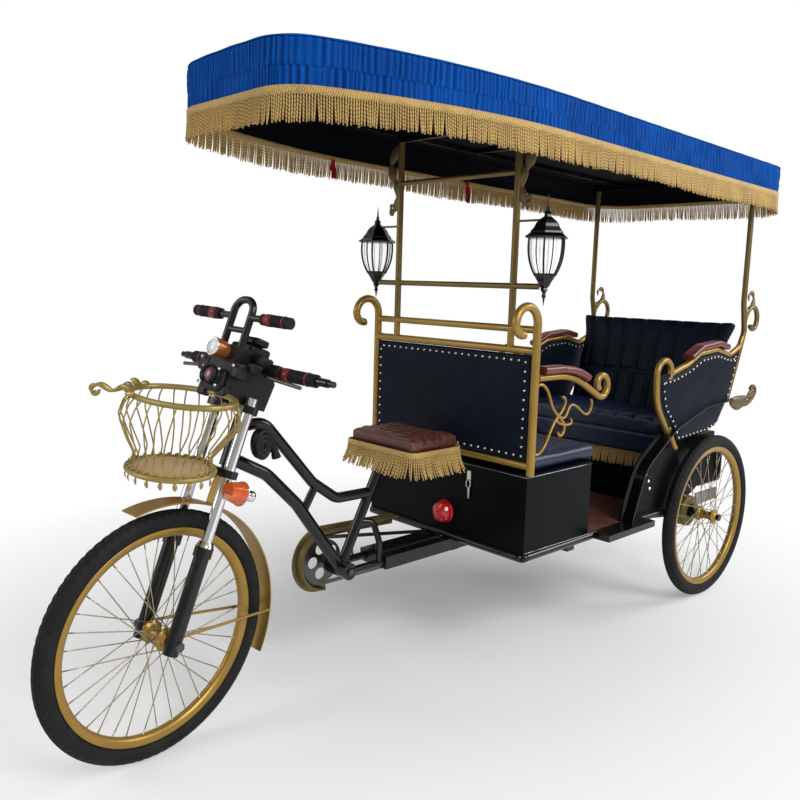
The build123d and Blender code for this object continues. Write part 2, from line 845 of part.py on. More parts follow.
# Driver's seat cushion
with BuildPart() as driver_seat:
    with BuildSketch(Plane.XY.offset(seat_low)):
        with Locations((seat_mid, 0)):
            RectangleRounded(seat_length, 2 * seat_half, 22)
    extrude(amount=seat_thickness)
    fillet(driver_seat.faces().sort_by(Axis.Z)[-1].edges(), 14)
keep(driver_seat, "driver_seat")

# Floor, battery box with its battery, and the bench cushion on the box
floor_rear = rear_base_front + riser_thickness + fit_gap
with BuildPart() as floor:
    add(slab((floor_rear, -floor_half, rail_top_z), (box_front, floor_half, floor_top)))
keep(floor, "floor_board")

with BuildPart() as box:
    add(slab((box_rear, -box_half, floor_top), (box_front, box_half, box_top)))
    add(
        slab(
            (box_rear + box_wall, -box_half + box_wall, floor_top),
            (box_front - box_wall, box_half - box_wall, box_top - box_wall),
        ),
        mode=Mode.SUBTRACT,
    )
keep(box, "battery_box")

with BuildPart() as battery:
    add(
        slab(
            (box_rear + battery_gap, -battery_half, floor_top),
            (box_front - battery_gap, battery_half, floor_top + battery_height),
        )
    )
keep(battery, "battery_pack")

with BuildPart() as bench:
    with BuildSketch(Plane.XY.offset(box_top)):
        with Locations(((bench_front + bench_rear) / 2, 0)):
            RectangleRounded(bench_front - bench_rear, 2 * bench_half, 18)
    extrude(amount=bench_top - box_top)
    fillet(bench.faces().sort_by(Axis.Z)[-1].edges(), 16)
keep(bench, "front_bench_cushion")

# Marker lamp on the front of the battery box
with BuildPart() as marker:
    with BuildSketch(Plane.YZ.offset(box_front)):
        with Locations((marker_side, marker_z)):
            Circle(marker_radius)
    extrude(amount=marker_depth, taper=24)
keep(marker, "marker_lamp")

# Front panel: a tube surround with end scrolls and a low rail, round a padded board
scroll_start = rail_low + 18
with BuildPart() as panel_frame:
    for side in (-1, 1):
        add(
            scroll(
                side_plane(side * panel_half),
                (panel_x, box_top),
                90,
                ((scroll_start - box_top, 0), (52, -170), (34, -110)),
                panel_tube,
            )
        )
    for z, radius in ((panel_top, panel_tube - 1), (panel_bottom, panel_tube - 1), (rail_low, post_radius)):
        add(bent_tube(((panel_x, -panel_half, z), (panel_x, panel_half, z)), radius))
    for side in (-1, 1):
        stub_ends = ((panel_x, side * post_half, panel_top), (panel_x, side * post_half, rail_low))
        add(bent_tube(stub_ends, post_radius))
keep(panel_frame, "front_panel_frame")

with BuildPart() as panel:
    add(
        slab(
            (panel_x - panel_board / 2, -panel_half + panel_tube + fit_gap, panel_bottom + panel_tube + fit_gap),
            (panel_x + panel_board / 2, panel_half - panel_tube - fit_gap, panel_top - panel_tube - fit_gap),
        )
    )
keep(panel, "front_panel")

# Roof frame: box bars under the canopy's ceiling, on which the posts end
canopy_plane = Plane(
    (canopy_datum_x, 0, valance_bottom),
    x_dir=(cos(canopy_tilt), 0, sin(canopy_tilt)),
    z_dir=(-sin(canopy_tilt), 0, cos(canopy_tilt)),
)


def ceiling_z(x):
    # Height of the canopy's flat ceiling over a station.
    climb = ((x - canopy_datum_x) * sin(canopy_tilt) + canopy_ceiling) / cos(canopy_tilt)
    return valance_bottom + climb


roof_bar_low = {x: ceiling_z(x) - 2 * roof_bar for x in (panel_x, rear_post_x)}
with BuildPart() as roof_frame:
    with BuildSketch(canopy_plane.offset(canopy_ceiling - roof_bar)):
        for side in (-1, 1):
            with Locations(((roof_front + roof_rear) / 2 - canopy_datum_x, side * post_half)):
                Rectangle(roof_front - roof_rear, roof_bar)
        for x in (roof_front - roof_bar, (roof_front + roof_rear) / 2, roof_rear + roof_bar):
            with Locations((x - canopy_datum_x, 0)):
                Rectangle(roof_bar, 2 * post_half)
    extrude(amount=roof_bar)
    for x, half in ((panel_x, post_half + roof_bar / 2), (rear_post_x, side_half + roof_bar)):
        bar_top = ceiling_z(x) - roof_bar / 2
        add(slab((x - roof_bar / 2, -half, roof_bar_low[x]), (x + roof_bar / 2, half, bar_top)))
keep(roof_frame, "roof_frame")

# Front posts with the lantern rail, the top rail and the lantern arms
lantern_arm_z = lantern_top + 58
with BuildPart() as front_posts:
    for side in (-1, 1):
        post_top = roof_bar_low[panel_x]
        post_ends = ((panel_x, side * post_half, rail_low), (panel_x, side * post_half, post_top))
        add(bent_tube(post_ends, post_radius))
        arm_ends = (
            (panel_x, side * post_half, lantern_arm_z),
            (panel_x, side * (lantern_half - lantern_stem - fit_gap), lantern_arm_z),
        )
        add(bent_tube(arm_ends, lantern_stem / 2))
    rail_end = lantern_half - 0.66 * lantern_cup_radius - fit_gap
    add(bent_tube(((panel_x, -rail_end, rail_lantern), (panel_x, rail_end, rail_lantern)), post_radius - 2))
    add(bent_tube(((panel_x, -post_half, rail_top), (panel_x, post_half, rail_top)), post_radius - 3))
    low_rail_ends = ((panel_x, -panel_half, rail_low), (panel_x, panel_half, rail_low))
    add(bent_tube(low_rail_ends, post_radius), mode=Mode.SUBTRACT)
keep(front_posts, "front_posts")

# Lanterns: a six-sided cast cage with a flared roof, a finial and a pendant, round a glass body
lantern_tall = lantern_top - lantern_foot
lantern_sections = (
    # height above the foot, radius
    ((lantern_tall, lantern_roof_radius), (lantern_tall + 12, 62), (lantern_tall + 50, 22)),
    ((-34, lantern_cup_radius / 2), (0, lantern_cup_radius)),
)
with BuildPart() as lanterns:
    for side in (-1, 1):
        for sections in lantern_sections:
            for height, radius in sections:
                with BuildSketch(Plane((panel_x, side * lantern_half, lantern_foot + height))):
                    RegularPolygon(radius, 6)
            loft(ruled=True)
        ribs = []
        for step in range(6):
            turn = radians(60 * step + 30)
            low = Vector(panel_x, side * lantern_half, lantern_foot - 2)
            high = Vector(panel_x, side * lantern_half, lantern_top + 2)
            out = Vector(cos(turn), sin(turn), 0)
            rib_low = low + out * (lantern_cup_radius - 6)
            ribs.append(straight_bar(rib_low, high + out * lantern_rib_radius, 5))
        add(ribs)
        for start, end, radius in (
            (lantern_top + 48, lantern_top + 82, lantern_stem),
            (lantern_foot - 76, lantern_foot - 32, lantern_stem - 2),
        ):
            with BuildSketch(Plane((panel_x, side * lantern_half, start))):
                Circle(radius)
            extrude(amount=end - start)
keep(lanterns, "lanterns")

with BuildPart() as panes:
    for side in (-1, 1):
        for height, radius in (
            (lantern_foot, lantern_cup_radius - 11),
            (lantern_top, lantern_rib_radius - 6),
        ):
            with BuildSketch(Plane((panel_x, side * lantern_half, height))):
                RegularPolygon(radius, 6)
        loft(ruled=True)
keep(panes, "lantern_glass")



def spline_bar(points, radius):
    # A round bar along a smooth curve through points.
    with BuildPart() as bar:
        with BuildLine() as path:
            Spline(*points)
        with BuildSketch(Plane(path.line @ 0, z_dir=path.line % 0)):
            Circle(radius)
        sweep()
    return bar.part


# Front arms: a tube from the panel's upright that dips and curls, over crossed scrollwork
arm_start = (panel_x - panel_tube - fit_gap, arm_z)
scrollwork = (
    # radius, and points as the distance behind the arm's start and the drop below it
    (5.0, ((-3, 26), (22, 21), (48, 36), (84, 96), (134, 140), (152, 171), (136, 191), (118, 178))),
    (4.6, ((-3, 233), (22, 237), (54, 213), (78, 174), (113, 130), (144, 101), (150, 77), (130, 68))),
    (4.3, ((118, 124), (160, 126), (178, 100), (227, 112), (284, 132), (299, 110), (293, 86))),
    (4.0, ((114, 138), (163, 159), (190, 154), (182, 139))),
)
with BuildPart() as front_arms:
    for side in (-1, 1):
        add(
            scroll(
                side_plane(side * panel_half),
                arm_start,
                180,
                ((100, 0), (330, 27), (95, 0), (36, -210), (24, -140)),
                side_tube,
            )
        )
        for radius, places in scrollwork:
            points = [Vector(arm_start[0] - back, side * panel_half, arm_z - drop) for back, drop in places]
            add(spline_bar(points, radius))
        upright = ((panel_x, side * panel_half, panel_bottom), (panel_x, side * panel_half, panel_top))
        add(bent_tube(upright, panel_tube + fit_gap), mode=Mode.SUBTRACT)
keep(front_arms, "front_arms")

cap_gap = side_tube + cap_thickness / 2 + fit_gap

# Rear seat: hollow base, cushion with a fringe, and a leaning back
with BuildPart() as rear_base:
    add(
        slab(
            (rear_base_rear, -rear_base_half, rear_rail_top),
            (rear_base_front, rear_base_half, rear_base_top),
        )
    )
    add(
        slab(
            (rear_base_rear + box_wall, -rear_base_half + box_wall, rear_rail_top),
            (rear_base_front - box_wall, rear_base_half - box_wall, rear_base_top - box_wall),
        ),
        mode=Mode.SUBTRACT,
    )
    # A riser closes the front below the seat, down to the floor.
    add(
        slab(
            (rear_base_front, -rear_base_half, rail_top_z),
            (rear_base_front + riser_thickness, rear_base_half, rear_base_top),
        )
    )
keep(rear_base, "rear_seat_base")

with BuildPart() as rear_cushion:
    with BuildSketch(Plane.XY.offset(rear_base_top)):
        with Locations(((rear_cushion_front + rear_cushion_rear) / 2, 0)):
            RectangleRounded(rear_cushion_front - rear_cushion_rear, 2 * rear_cushion_half, 16)
    extrude(amount=rear_cushion_top - rear_base_top)
    fillet(rear_cushion.faces().sort_by(Axis.Z)[-1].edges(), 15)
keep(rear_cushion, "rear_cushion")

# Fringes: a skirt round the driver's seat, and a strip along the front of the rear seat's base
with BuildPart() as seat_fringes:
    with BuildSketch(Plane.XY.offset(seat_low - seat_fringe)):
        with Locations((seat_mid, 0)):
            RectangleRounded(seat_length, 2 * seat_half, 22)
            RectangleRounded(
                seat_length - 2 * fringe_cloth,
                2 * (seat_half - fringe_cloth),
                22 - fringe_cloth,
                mode=Mode.SUBTRACT,
            )
    extrude(amount=seat_fringe)
    add(bent_tube(seat_tube_points, frame_tube + 2, seat_tube_bend), mode=Mode.SUBTRACT)
    add(
        slab(
            (floor_rear, -rear_base_half, rear_fringe_low),
            (floor_rear + fringe_cloth, rear_base_half, rear_fringe_top),
        )
    )
keep(seat_fringes, "seat_fringes")

back_plane = Plane(
    (rear_cushion_rear - fit_gap, 0, rear_base_top + back_thickness * sin(radians(back_lean)) + fit_gap),
    x_dir=(0, -1, 0),
    z_dir=(-cos(radians(back_lean)), 0, -sin(radians(back_lean))),
)
back_wide_from = back_height - 70
with BuildPart() as rear_back:
    with BuildSketch(back_plane):
        with BuildLine():
            Polyline(
                (-rear_cushion_half, 0),
                (rear_cushion_half, 0),
                (rear_cushion_half, back_wide_from),
                (back_half, back_wide_from + 20),
                (back_half, back_height),
                (-back_half, back_height),
                (-back_half, back_wide_from + 20),
                (-rear_cushion_half, back_wide_from),
                close=True,
            )
        make_face()
    extrude(amount=back_thickness)
keep(rear_back, "rear_backrest")

# Rear side: a tube that rises from the mudguard to a scroll, an arm tube back to the post, and a board
front_edge_steps = ((215, 0), (170, 35), (50, 0), (52, 150), (34, 130))
arm_points = ((356, 930), (237, 958), (143, 996), (5, 1007), (-111, 980), (-200, 1012), (-218, 1050))
rear_edge_points = ((-72, 687), (-163, 905), (-232, 1075), (rear_post_x, 1190))
fender_points = ((fender_foot_x, floor_top), (530, 600), (330, 722), (100, 784), (fender_tail_x, 797))


def side_tubes(side, radius):
    # The curled front tube and the arm tube of one side.
    places = [Vector(x, side * side_half, z) for x, z in arm_points]
    return [
        scroll(side_plane(side * side_half), (275, 616), 49.8, front_edge_steps, radius),
        bent_tube(places, radius, 55),
    ]


def rear_edge_tube(side, radius):
    # The post of one side: up the board's leaning rear edge, then straight to the roof.
    places = [Vector(x, side * side_half, z) for x, z in rear_edge_points]
    return bent_tube((*places, Vector(rear_post_x, side * side_half, roof_bar_low[rear_post_x])), radius, 60)


def mudguard_body():
    # What lies below the mudguards' upper face, across the vehicle, for seating what stands on them.
    with BuildPart() as body:
        with BuildSketch(Plane.XZ.offset(-half_track - tyre_radius)):
            with BuildLine():
                top = FilletPolyline(*fender_points, radius=fender_bend)
                behind = fender_tail_x - tyre_radius
                Polyline(top @ 1, (behind, (top @ 1).Y), (behind, 0), (fender_foot_x, 0), top @ 0)
            make_face()
            offset(amount=fender_wall / 2 + fit_gap)
        extrude(amount=2 * (half_track + tyre_radius))
    return body.part


with BuildPart() as rear_posts:
    for side in (-1, 1):
        add(rear_edge_tube(side, side_tube))
        add(
            scroll(
                side_plane(side * side_half),
                (-226, 1110),
                100,
                ((80, 60), (50, 150), (30, 110)),
                side_tube - 1,
            )
        )
    add(mudguard_body(), mode=Mode.SUBTRACT)
keep(rear_posts, "rear_posts")

with BuildPart() as side_scrolls:
    for side in (-1, 1):
        add(side_tubes(side, side_tube))
        add(rear_edge_tube(side, side_tube + fit_gap), mode=Mode.SUBTRACT)
    add(mudguard_body(), mode=Mode.SUBTRACT)
keep(side_scrolls, "rear_side_scrolls")

board_front = ((275, 616), (420, 790), (452, 880), (452, 925))
board_outline = (*board_front, *arm_points, *rear_edge_points[1::-1], (-60, 640), (200, 560))
with BuildPart() as side_boards:
    for side in (-1, 1):
        with BuildSketch(side_plane(side * side_half - side_board / 2)):
            with BuildLine():
                Polyline(*board_outline, close=True)
            make_face()
        extrude(amount=-side_board)
        add(side_tubes(side, side_tube + fit_gap), mode=Mode.SUBTRACT)
        add(rear_edge_tube(side, side_tube + fit_gap), mode=Mode.SUBTRACT)
    add(mudguard_body(), mode=Mode.SUBTRACT)
keep(side_boards, "rear_side_boards")

# Wooden caps on the four arms
with BuildPart() as arm_caps:
    for side in (-1, 1):
        with BuildLine(side_plane(side * panel_half)) as cap_path:
            Line((arm_start[0] - 16, arm_z + cap_gap), (arm_start[0] - 100, arm_z + cap_gap))
            JernArc((arm_start[0] - 100, arm_z + cap_gap), (-1, 0), 330 + cap_gap, 26)
        with BuildSketch(Plane(cap_path.line @ 0, x_dir=(0, 1, 0), z_dir=cap_path.line % 0)):
            RectangleRounded(cap_width, cap_thickness, cap_thickness * 0.4)
        sweep(path=cap_path.line)
        cap_points = [
            Vector(x, side * side_half, z + side_tube + cap_thickness / 2 + 1)
            for x, z in ((232, 961), (143, 997), (5, 1008), (-70, 991))
        ]
        with BuildLine() as cap_path:
            FilletPolyline(*cap_points, radius=90)
        with BuildSketch(Plane(cap_path.line @ 0, x_dir=(0, 1, 0), z_dir=cap_path.line % 0)):
            RectangleRounded(cap_width, cap_thickness, cap_thickness * 0.4)
        sweep(path=cap_path.line)
        add(side_tubes(side, side_tube + fit_gap), mode=Mode.SUBTRACT)
keep(arm_caps, "arm_caps")

with BuildPart() as tail_scrolls:
    for side in (-1, 1):
        add(
            scroll(
                side_plane(side * (fender_outer - tail_radius)),
                (fender_tail_x - fit_gap, fender_points[-1][1]),
                196,
                ((95, 0), (120, -62), (22, -200)),
                tail_radius,
            )
        )
keep(tail_scrolls, "tail_ornaments")

# Rear mudguards: an arched strip over each wheel that comes down to a step beside the floor
step_low = floor_top - 20
with BuildPart() as fenders:
    for side in (-1, 1):
        start = fender_inner if side > 0 else -fender_outer
        with BuildSketch(side_plane(start)):
            with BuildLine() as arch:
                FilletPolyline(*fender_points, radius=fender_bend)
            trace(arch.line, line_width=fender_wall)
        extrude(amount=-(fender_outer - fender_inner))
        inner = floor_half + fit_gap
        low_side = inner if side > 0 else -step_outer
        high_side = step_outer if side > 0 else -inner
        add(slab((step_rear, low_side, step_low), (step_front, high_side, floor_top + fender_wall / 2)))
keep(fenders, "rear_mudguards")

# Rear axle: tube with the drive motor at its middle and a stub for each wheel; springs up to the rails
with BuildPart() as rear_axle:
    for radius, half in (
        (axle_tube, axle_tube_half),
        (motor_radius, motor_half),
        (axle_radius, half_track + hub_width / 2 + 14),
    ):
        with BuildSketch(side_plane(-half)):
            with Locations((0, tyre_radius)):
                Circle(radius)
        extrude(amount=-2 * half)
    for side in (-1, 1):
        nut = half_track + hub_width / 2 + 5
        with BuildSketch(side_plane(nut if side > 0 else -nut - 9)):
            with Locations((0, tyre_radius)):
                RegularPolygon(axle_radius + 6, 6)
        extrude(amount=-9)
        pad_top = tyre_radius + axle_tube + 6
        add(
            slab(
                (-30, side * upper_rail_half - spring_width / 2, tyre_radius),
                (30, side * upper_rail_half + spring_width / 2, pad_top),
            )
        )
keep(rear_axle, "rear_axle")

spring_sag = upper_rail_low - spring_thickness - pad_top
spring_radius = (spring_half**2 + spring_sag**2) / (2 * spring_sag)
with BuildPart() as springs:
    for side in (-1, 1):
        with BuildSketch(side_plane(side * upper_rail_half - spring_width / 2)):
            with Locations((0, pad_top + fit_gap + spring_radius)):
                Circle(spring_radius)
                Circle(spring_radius - spring_thickness, mode=Mode.SUBTRACT)
            with Locations((0, pad_top + (upper_rail_low - pad_top) / 2)):
                Rectangle(2 * spring_half, upper_rail_low - pad_top - fit_gap, mode=Mode.INTERSECT)
        extrude(amount=-spring_width)
keep(springs, "leaf_springs")

# Canopy: a crowned shell, straight at the sides, tapering to a narrow nose, with a fringe below its hem
nose_swing = canopy_taper_radius - canopy_nose_radius
nose_rise = canopy_nose_half - canopy_half + canopy_taper_radius
taper_x = canopy_front - canopy_nose_radius - sqrt(nose_swing**2 - nose_rise**2)
nose_turn = degrees(atan2(sqrt(nose_swing**2 - nose_rise**2), nose_rise))


def canopy_outline(inset):
    # Half outline from the tail to the nose, mirrored: tail corner, straight side, long taper, nose corner.
    half = canopy_half - inset
    tail = canopy_rear + inset - canopy_datum_x
    tail_radius_in = canopy_rear_radius - inset
    start = taper_x - canopy_datum_x
    with BuildSketch(Plane.XY) as outline:
        with BuildLine():
            tail_edge = Line((tail, 0), (tail, half - tail_radius_in))
            corner = JernArc(tail_edge @ 1, (0, 1), tail_radius_in, -90)
            flank = Line(corner @ 1, (start, half))
            taper = JernArc(flank @ 1, (1, 0), canopy_taper_radius - inset, -nose_turn)
            nose = JernArc(taper @ 1, taper % 1, canopy_nose_radius - inset, nose_turn - 90)
            Line(nose @ 1, ((nose @ 1).X, 0))
            mirror(about=Plane.XZ)
        make_face()
    return outline.sketch


crown_radius = (canopy_half**2 + canopy_crown**2) / (2 * canopy_crown)
with BuildPart() as canopy:
    with BuildSketch(canopy_plane):
        add(canopy_outline(0))
    extrude(amount=canopy_peak)
    crown_plane = Plane(
        canopy_plane.from_local_coords((-2000, 0, canopy_peak - crown_radius)),
        x_dir=canopy_plane.y_dir,
        z_dir=canopy_plane.x_dir,
    )
    with BuildSketch(crown_plane):
        Circle(crown_radius)
    extrude(amount=4000, mode=Mode.INTERSECT)
    with BuildSketch(canopy_plane):
        add(canopy_outline(canopy_wall))
    extrude(amount=canopy_ceiling, mode=Mode.SUBTRACT)
keep(canopy, "canopy")

with BuildPart() as canopy_fringe:
    with BuildSketch(canopy_plane.offset(-fringe_drop)):
        add(canopy_outline(0))
        add(canopy_outline(canopy_wall), mode=Mode.SUBTRACT)
    extrude(amount=fringe_drop)
keep(canopy_fringe, "canopy_fringe")

# Horn: a snail-shaped disc beside the top tube, on its own bracket
with BuildPart() as horn:
    with BuildSketch(side_plane(horn_side)):
        with Locations((horn_x, horn_z)):
            Circle(horn_radius)
        with Locations((horn_x - horn_radius * 0.75, horn_z - horn_radius * 0.6)):
            Rectangle(horn_radius * 0.5, horn_radius * 0.9)
    extrude(amount=-horn_depth)
    with BuildSketch(side_plane(frame_tube + fit_gap)):
        with Locations((horn_x - horn_radius * 0.6, horn_z - horn_radius * 0.1)):
            Circle(horn_radius / 4)
    extrude(amount=-(horn_side - frame_tube))
keep(horn, "horn")
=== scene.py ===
import json
import bmesh
import bpy
import numpy as np
from mathutils import Matrix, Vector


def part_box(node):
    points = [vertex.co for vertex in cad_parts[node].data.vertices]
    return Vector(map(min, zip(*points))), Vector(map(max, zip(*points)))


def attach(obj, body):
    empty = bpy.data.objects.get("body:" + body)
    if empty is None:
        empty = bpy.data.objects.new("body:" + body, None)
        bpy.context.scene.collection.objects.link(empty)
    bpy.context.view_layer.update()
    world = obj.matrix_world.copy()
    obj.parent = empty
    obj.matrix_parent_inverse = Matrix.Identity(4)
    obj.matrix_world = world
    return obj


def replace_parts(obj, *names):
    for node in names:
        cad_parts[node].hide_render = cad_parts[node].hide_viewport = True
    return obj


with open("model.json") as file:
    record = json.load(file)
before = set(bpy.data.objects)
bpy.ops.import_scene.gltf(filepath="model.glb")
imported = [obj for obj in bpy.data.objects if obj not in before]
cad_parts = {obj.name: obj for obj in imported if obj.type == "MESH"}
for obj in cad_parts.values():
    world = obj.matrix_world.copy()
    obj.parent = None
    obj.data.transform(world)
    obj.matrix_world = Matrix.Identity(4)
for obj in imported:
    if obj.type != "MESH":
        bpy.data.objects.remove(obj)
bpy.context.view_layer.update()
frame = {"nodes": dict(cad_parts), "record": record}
dice = np.random.default_rng(7)
print("frame loaded")

# The vehicle's own frame: millimetres, X forward from the rear axle, Y left, Z up from the ground
vehicle = {"midX": 1082.912, "rake": 20.9, "restTurn": 7.8, "headFoot": (2183.96, 0.0, 313.947),
           "axleZ": 330.0, "forkForward": 45.0}
rakeAngle = np.radians(vehicle["rake"])
headUp = np.array([-np.sin(rakeAngle), 0.0, np.cos(rakeAngle)])
headForward = np.array([np.cos(rakeAngle), 0.0, np.sin(rakeAngle)])
headFoot = np.array(vehicle["headFoot"])
steered = ("steering", "front_wheel")
bothSides = (-1.0, 1.0)
upright = np.array([0, 0, 1.0])


def xyz(x, y, z):
    # points from three coordinates, each an array or one value for all
    return np.stack(np.broadcast_arrays(x, y, z), -1)


def place(points):
    # vehicle millimetres to frame metres: take off the middle, divide by a thousand
    return (np.asarray(points, float) - [vehicle["midX"], 0, 0]) / 1000


def turned(points):
    # straight-ahead points turned about the head axis by the rest angle (Rodrigues' formula), then placed
    angle = np.radians(vehicle["restTurn"])
    arm = np.asarray(points, float) - headFoot
    along = (arm @ headUp)[..., None] * headUp
    spun = arm * np.cos(angle) + np.cross(np.broadcast_to(headUp, arm.shape), arm) * np.sin(angle)
    return place(headFoot + spun + along * (1 - np.cos(angle)))


def onFork(forward, side, up):
    # a point of the straight-ahead steering frame: forward, side and up along the head axis
    return headFoot + xyz(forward, side, up) @ np.array([headForward, (0, 1.0, 0), headUp])


def nodeBox(name):
    # a node's low and high corners in vehicle millimetres
    return [np.array(corner) * 1000 + [vehicle["midX"], 0, 0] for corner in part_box(name)]


def gridFaces(rows, cols, closeRows=False, closeCols=False):
    # a quad from each grid point to its next row and column, wrapping where the grid is closed
    r, c = np.meshgrid(np.arange(rows - (not closeRows)), np.arange(cols - (not closeCols)), indexing="ij")
    r2, c2 = (r + 1) % rows, (c + 1) % cols
    return np.stack([r * cols + c, r * cols + c2, r2 * cols + c2, r2 * cols + c], -1).reshape(-1, 4)


def endCaps(rows, cols):
    # one face over the first ring of a grid and one over the last
    ring = np.arange(cols)
    return [ring[::-1].tolist(), (ring + (rows - 1) * cols).tolist()]


def unit(v):
    return v / np.maximum(np.linalg.norm(v, axis=-1, keepdims=True), 1e-12)


def bell(distance, width):
    # one at no distance, falling to nothing about two widths away
    return np.exp(-(distance / width) ** 2)


def rampUp(values, start, end):
    # nought up to the start, one from the end on, straight between
    return np.clip((values - start) / (end - start), 0, 1)


def lengthAlong(path):
    # the length run along a path up to each of its points
    return np.concatenate([[0], np.cumsum(np.linalg.norm(np.diff(path, axis=0), axis=1))])


def sampled(table, reach, at):
    # each column of a table read at lengths along its path
    return np.stack([np.interp(at, reach, column) for column in table.T], -1)


def evenly(points, spacing, nearest=True):
    # points at equal steps round a closed path, and the length run up to each
    path = np.vstack([points, points[:1]])
    reach = lengthAlong(path)
    share = reach[-1] / spacing
    s = np.linspace(0, reach[-1], int(round(share) if nearest else share), endpoint=False)
    return sampled(path, reach, s), s


def leftOf(ring):
    # flat directions to the left of the way round a closed ring
    way = unit(np.roll(ring, -1, 0) - np.roll(ring, 1, 0))
    return np.stack([-way[:, 1], way[:, 0]], 1)


def smoothPath(points, count):
    # a Catmull-Rom curve through points, at even shares
    points = np.asarray(points, float)
    ends = np.vstack([2 * points[0] - points[1], points, 2 * points[-1] - points[-2]])
    at = np.linspace(0, len(points) - 1, count)
    k = np.minimum(at.astype(int), len(points) - 2)
    t = (at - k)[:, None]
    p0, p1, p2, p3 = ends[k], ends[k + 1], ends[k + 2], ends[k + 3]
    cubic = (2 * p0 - 5 * p1 + 4 * p2 - p3) * t**2 + (3 * p1 - p0 - 3 * p2 + p3) * t**3
    return 0.5 * (2 * p1 + (p2 - p0) * t + cubic)


def tubes(paths, radius, sides=10, across=(0, 0, 1), closed=False, flat=1.0):
    # rings carried along paths: centre + radius (cos a n + flat sin a b), where b is the given direction
    # with its part along the path taken off and n completes the frame; ends are closed with flat caps
    paths = np.asarray(paths, float)
    paths = paths[None] if paths.ndim == 2 else paths
    count, steps = paths.shape[:2]
    if closed:
        tangent = unit(np.roll(paths, -1, 1) - np.roll(paths, 1, 1))
    else:
        tangent = unit(np.gradient(paths, axis=1))
    across = np.broadcast_to(np.asarray(across, float), paths.shape)
    b = unit(across - (across * tangent).sum(-1, keepdims=True) * tangent)
    n = np.cross(b, tangent)
    a = np.linspace(0, 2 * np.pi, sides, endpoint=False)[:, None]
    radius = np.broadcast_to(np.asarray(radius, float), (count, steps))[..., None, None]
    rings = paths[:, :, None] + radius * (np.cos(a) * n[:, :, None] + flat * np.sin(a) * b[:, :, None])
    first = (np.arange(count) * steps * sides)[:, None, None]
    faces = (gridFaces(steps, sides, closed, True)[None] + first).reshape(-1, 4).tolist()
    for cap in [] if closed else endCaps(steps, sides):
        faces += (np.array(cap) + first[:, 0]).tolist()
    return rings.reshape(-1, 3), faces


def lathe(profile, centre, axis, steps=32, closed=False, capped=False):
    # a profile of (radius, height) pairs turned about an axis through a centre
    profile = np.asarray(profile, float)
    axis = unit(np.asarray(axis, float))
    seed = upright if abs(axis[2]) < 0.9 else np.array([1.0, 0, 0])
    u = unit(np.cross(seed, axis))
    a = np.linspace(0, 2 * np.pi, steps, endpoint=False)[:, None]
    ring = np.cos(a) * u + np.sin(a) * np.cross(axis, u)
    points = np.asarray(centre, float) + profile[:, None, :1] * ring[None] + profile[:, None, 1:] * axis
    faces = gridFaces(len(profile), steps, closed, True).tolist()
    return points.reshape(-1, 3), faces + (endCaps(len(profile), steps) if capped else [])


def softBox(middle, halves, power=0.35, rows=14, cols=28):
    # a superellipsoid: powers of sines and cosines keep the faces flat and the edges round
    v = np.linspace(-0.98, 0.98, rows)[:, None] * np.pi / 2
    u = np.linspace(0, 2 * np.pi, cols, endpoint=False)[None]

    def bent(value):
        return np.sign(value) * np.abs(value) ** power

    points = xyz(bent(np.cos(v)) * bent(np.cos(u)), bent(np.cos(v)) * bent(np.sin(u)), bent(np.sin(v)))
    faces = gridFaces(rows, cols, False, True).tolist() + endCaps(rows, cols)
    return points.reshape(-1, 3) * halves + middle, faces


def studsOn(centres, out, radius):
    # domes, each a short profile turned about the outward direction, standing on a flat face
    dome = [(radius, 0), (radius * 0.93, radius * 0.36), (radius * 0.62, radius * 0.7), (0.01, radius * 0.85)]
    points, faces = lathe(dome, (0, 0, 0), (0, 0, 1), 8)
    out = unit(np.asarray(out, float))
    x = unit(np.cross(out, [0.3, 0.5, 0.81]))
    points = points @ np.array([x, np.cross(out, x), out])
    return joined([(points + centre, faces) for centre in np.asarray(centres)])


def joined(parts):
    # several surfaces as one list of points and faces
    points, faces, first = [], [], 0
    for p, f in parts:
        points.append(np.asarray(p, float).reshape(-1, 3))
        f = f.tolist() if isinstance(f, np.ndarray) else f
        faces += [[i + first for i in face] for face in f]
        first += len(points[-1])
    return np.concatenate(points), faces


def newPiece(name, parts, body, slot, finish=None, smooth=True, along=None, flip=False):
    # joins surfaces in vehicle millimetres, settles them in the frame and puts them into a mesh at the
    # origin, with an optional value per point for patterns along it
    points, faces = joined(parts)
    points = turned(points) if body in steered else place(points)
    mesh = bpy.data.meshes.new(name)
    mesh.from_pydata(points.tolist(), [], [face[::-1] for face in faces] if flip else faces)
    mesh.polygons.foreach_set("use_smooth", np.full(len(mesh.polygons), smooth))
    if along is not None:
        values = mesh.attributes.new("along", "FLOAT", "POINT").data
        values.foreach_set("value", np.asarray(along, np.float32).ravel())
    mesh.update()
    piece = bpy.data.objects.new(name, mesh)
    bpy.context.scene.collection.objects.link(piece)
    piece.data.materials.append(finishes[finish or slot])
    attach(piece, body)
    return piece


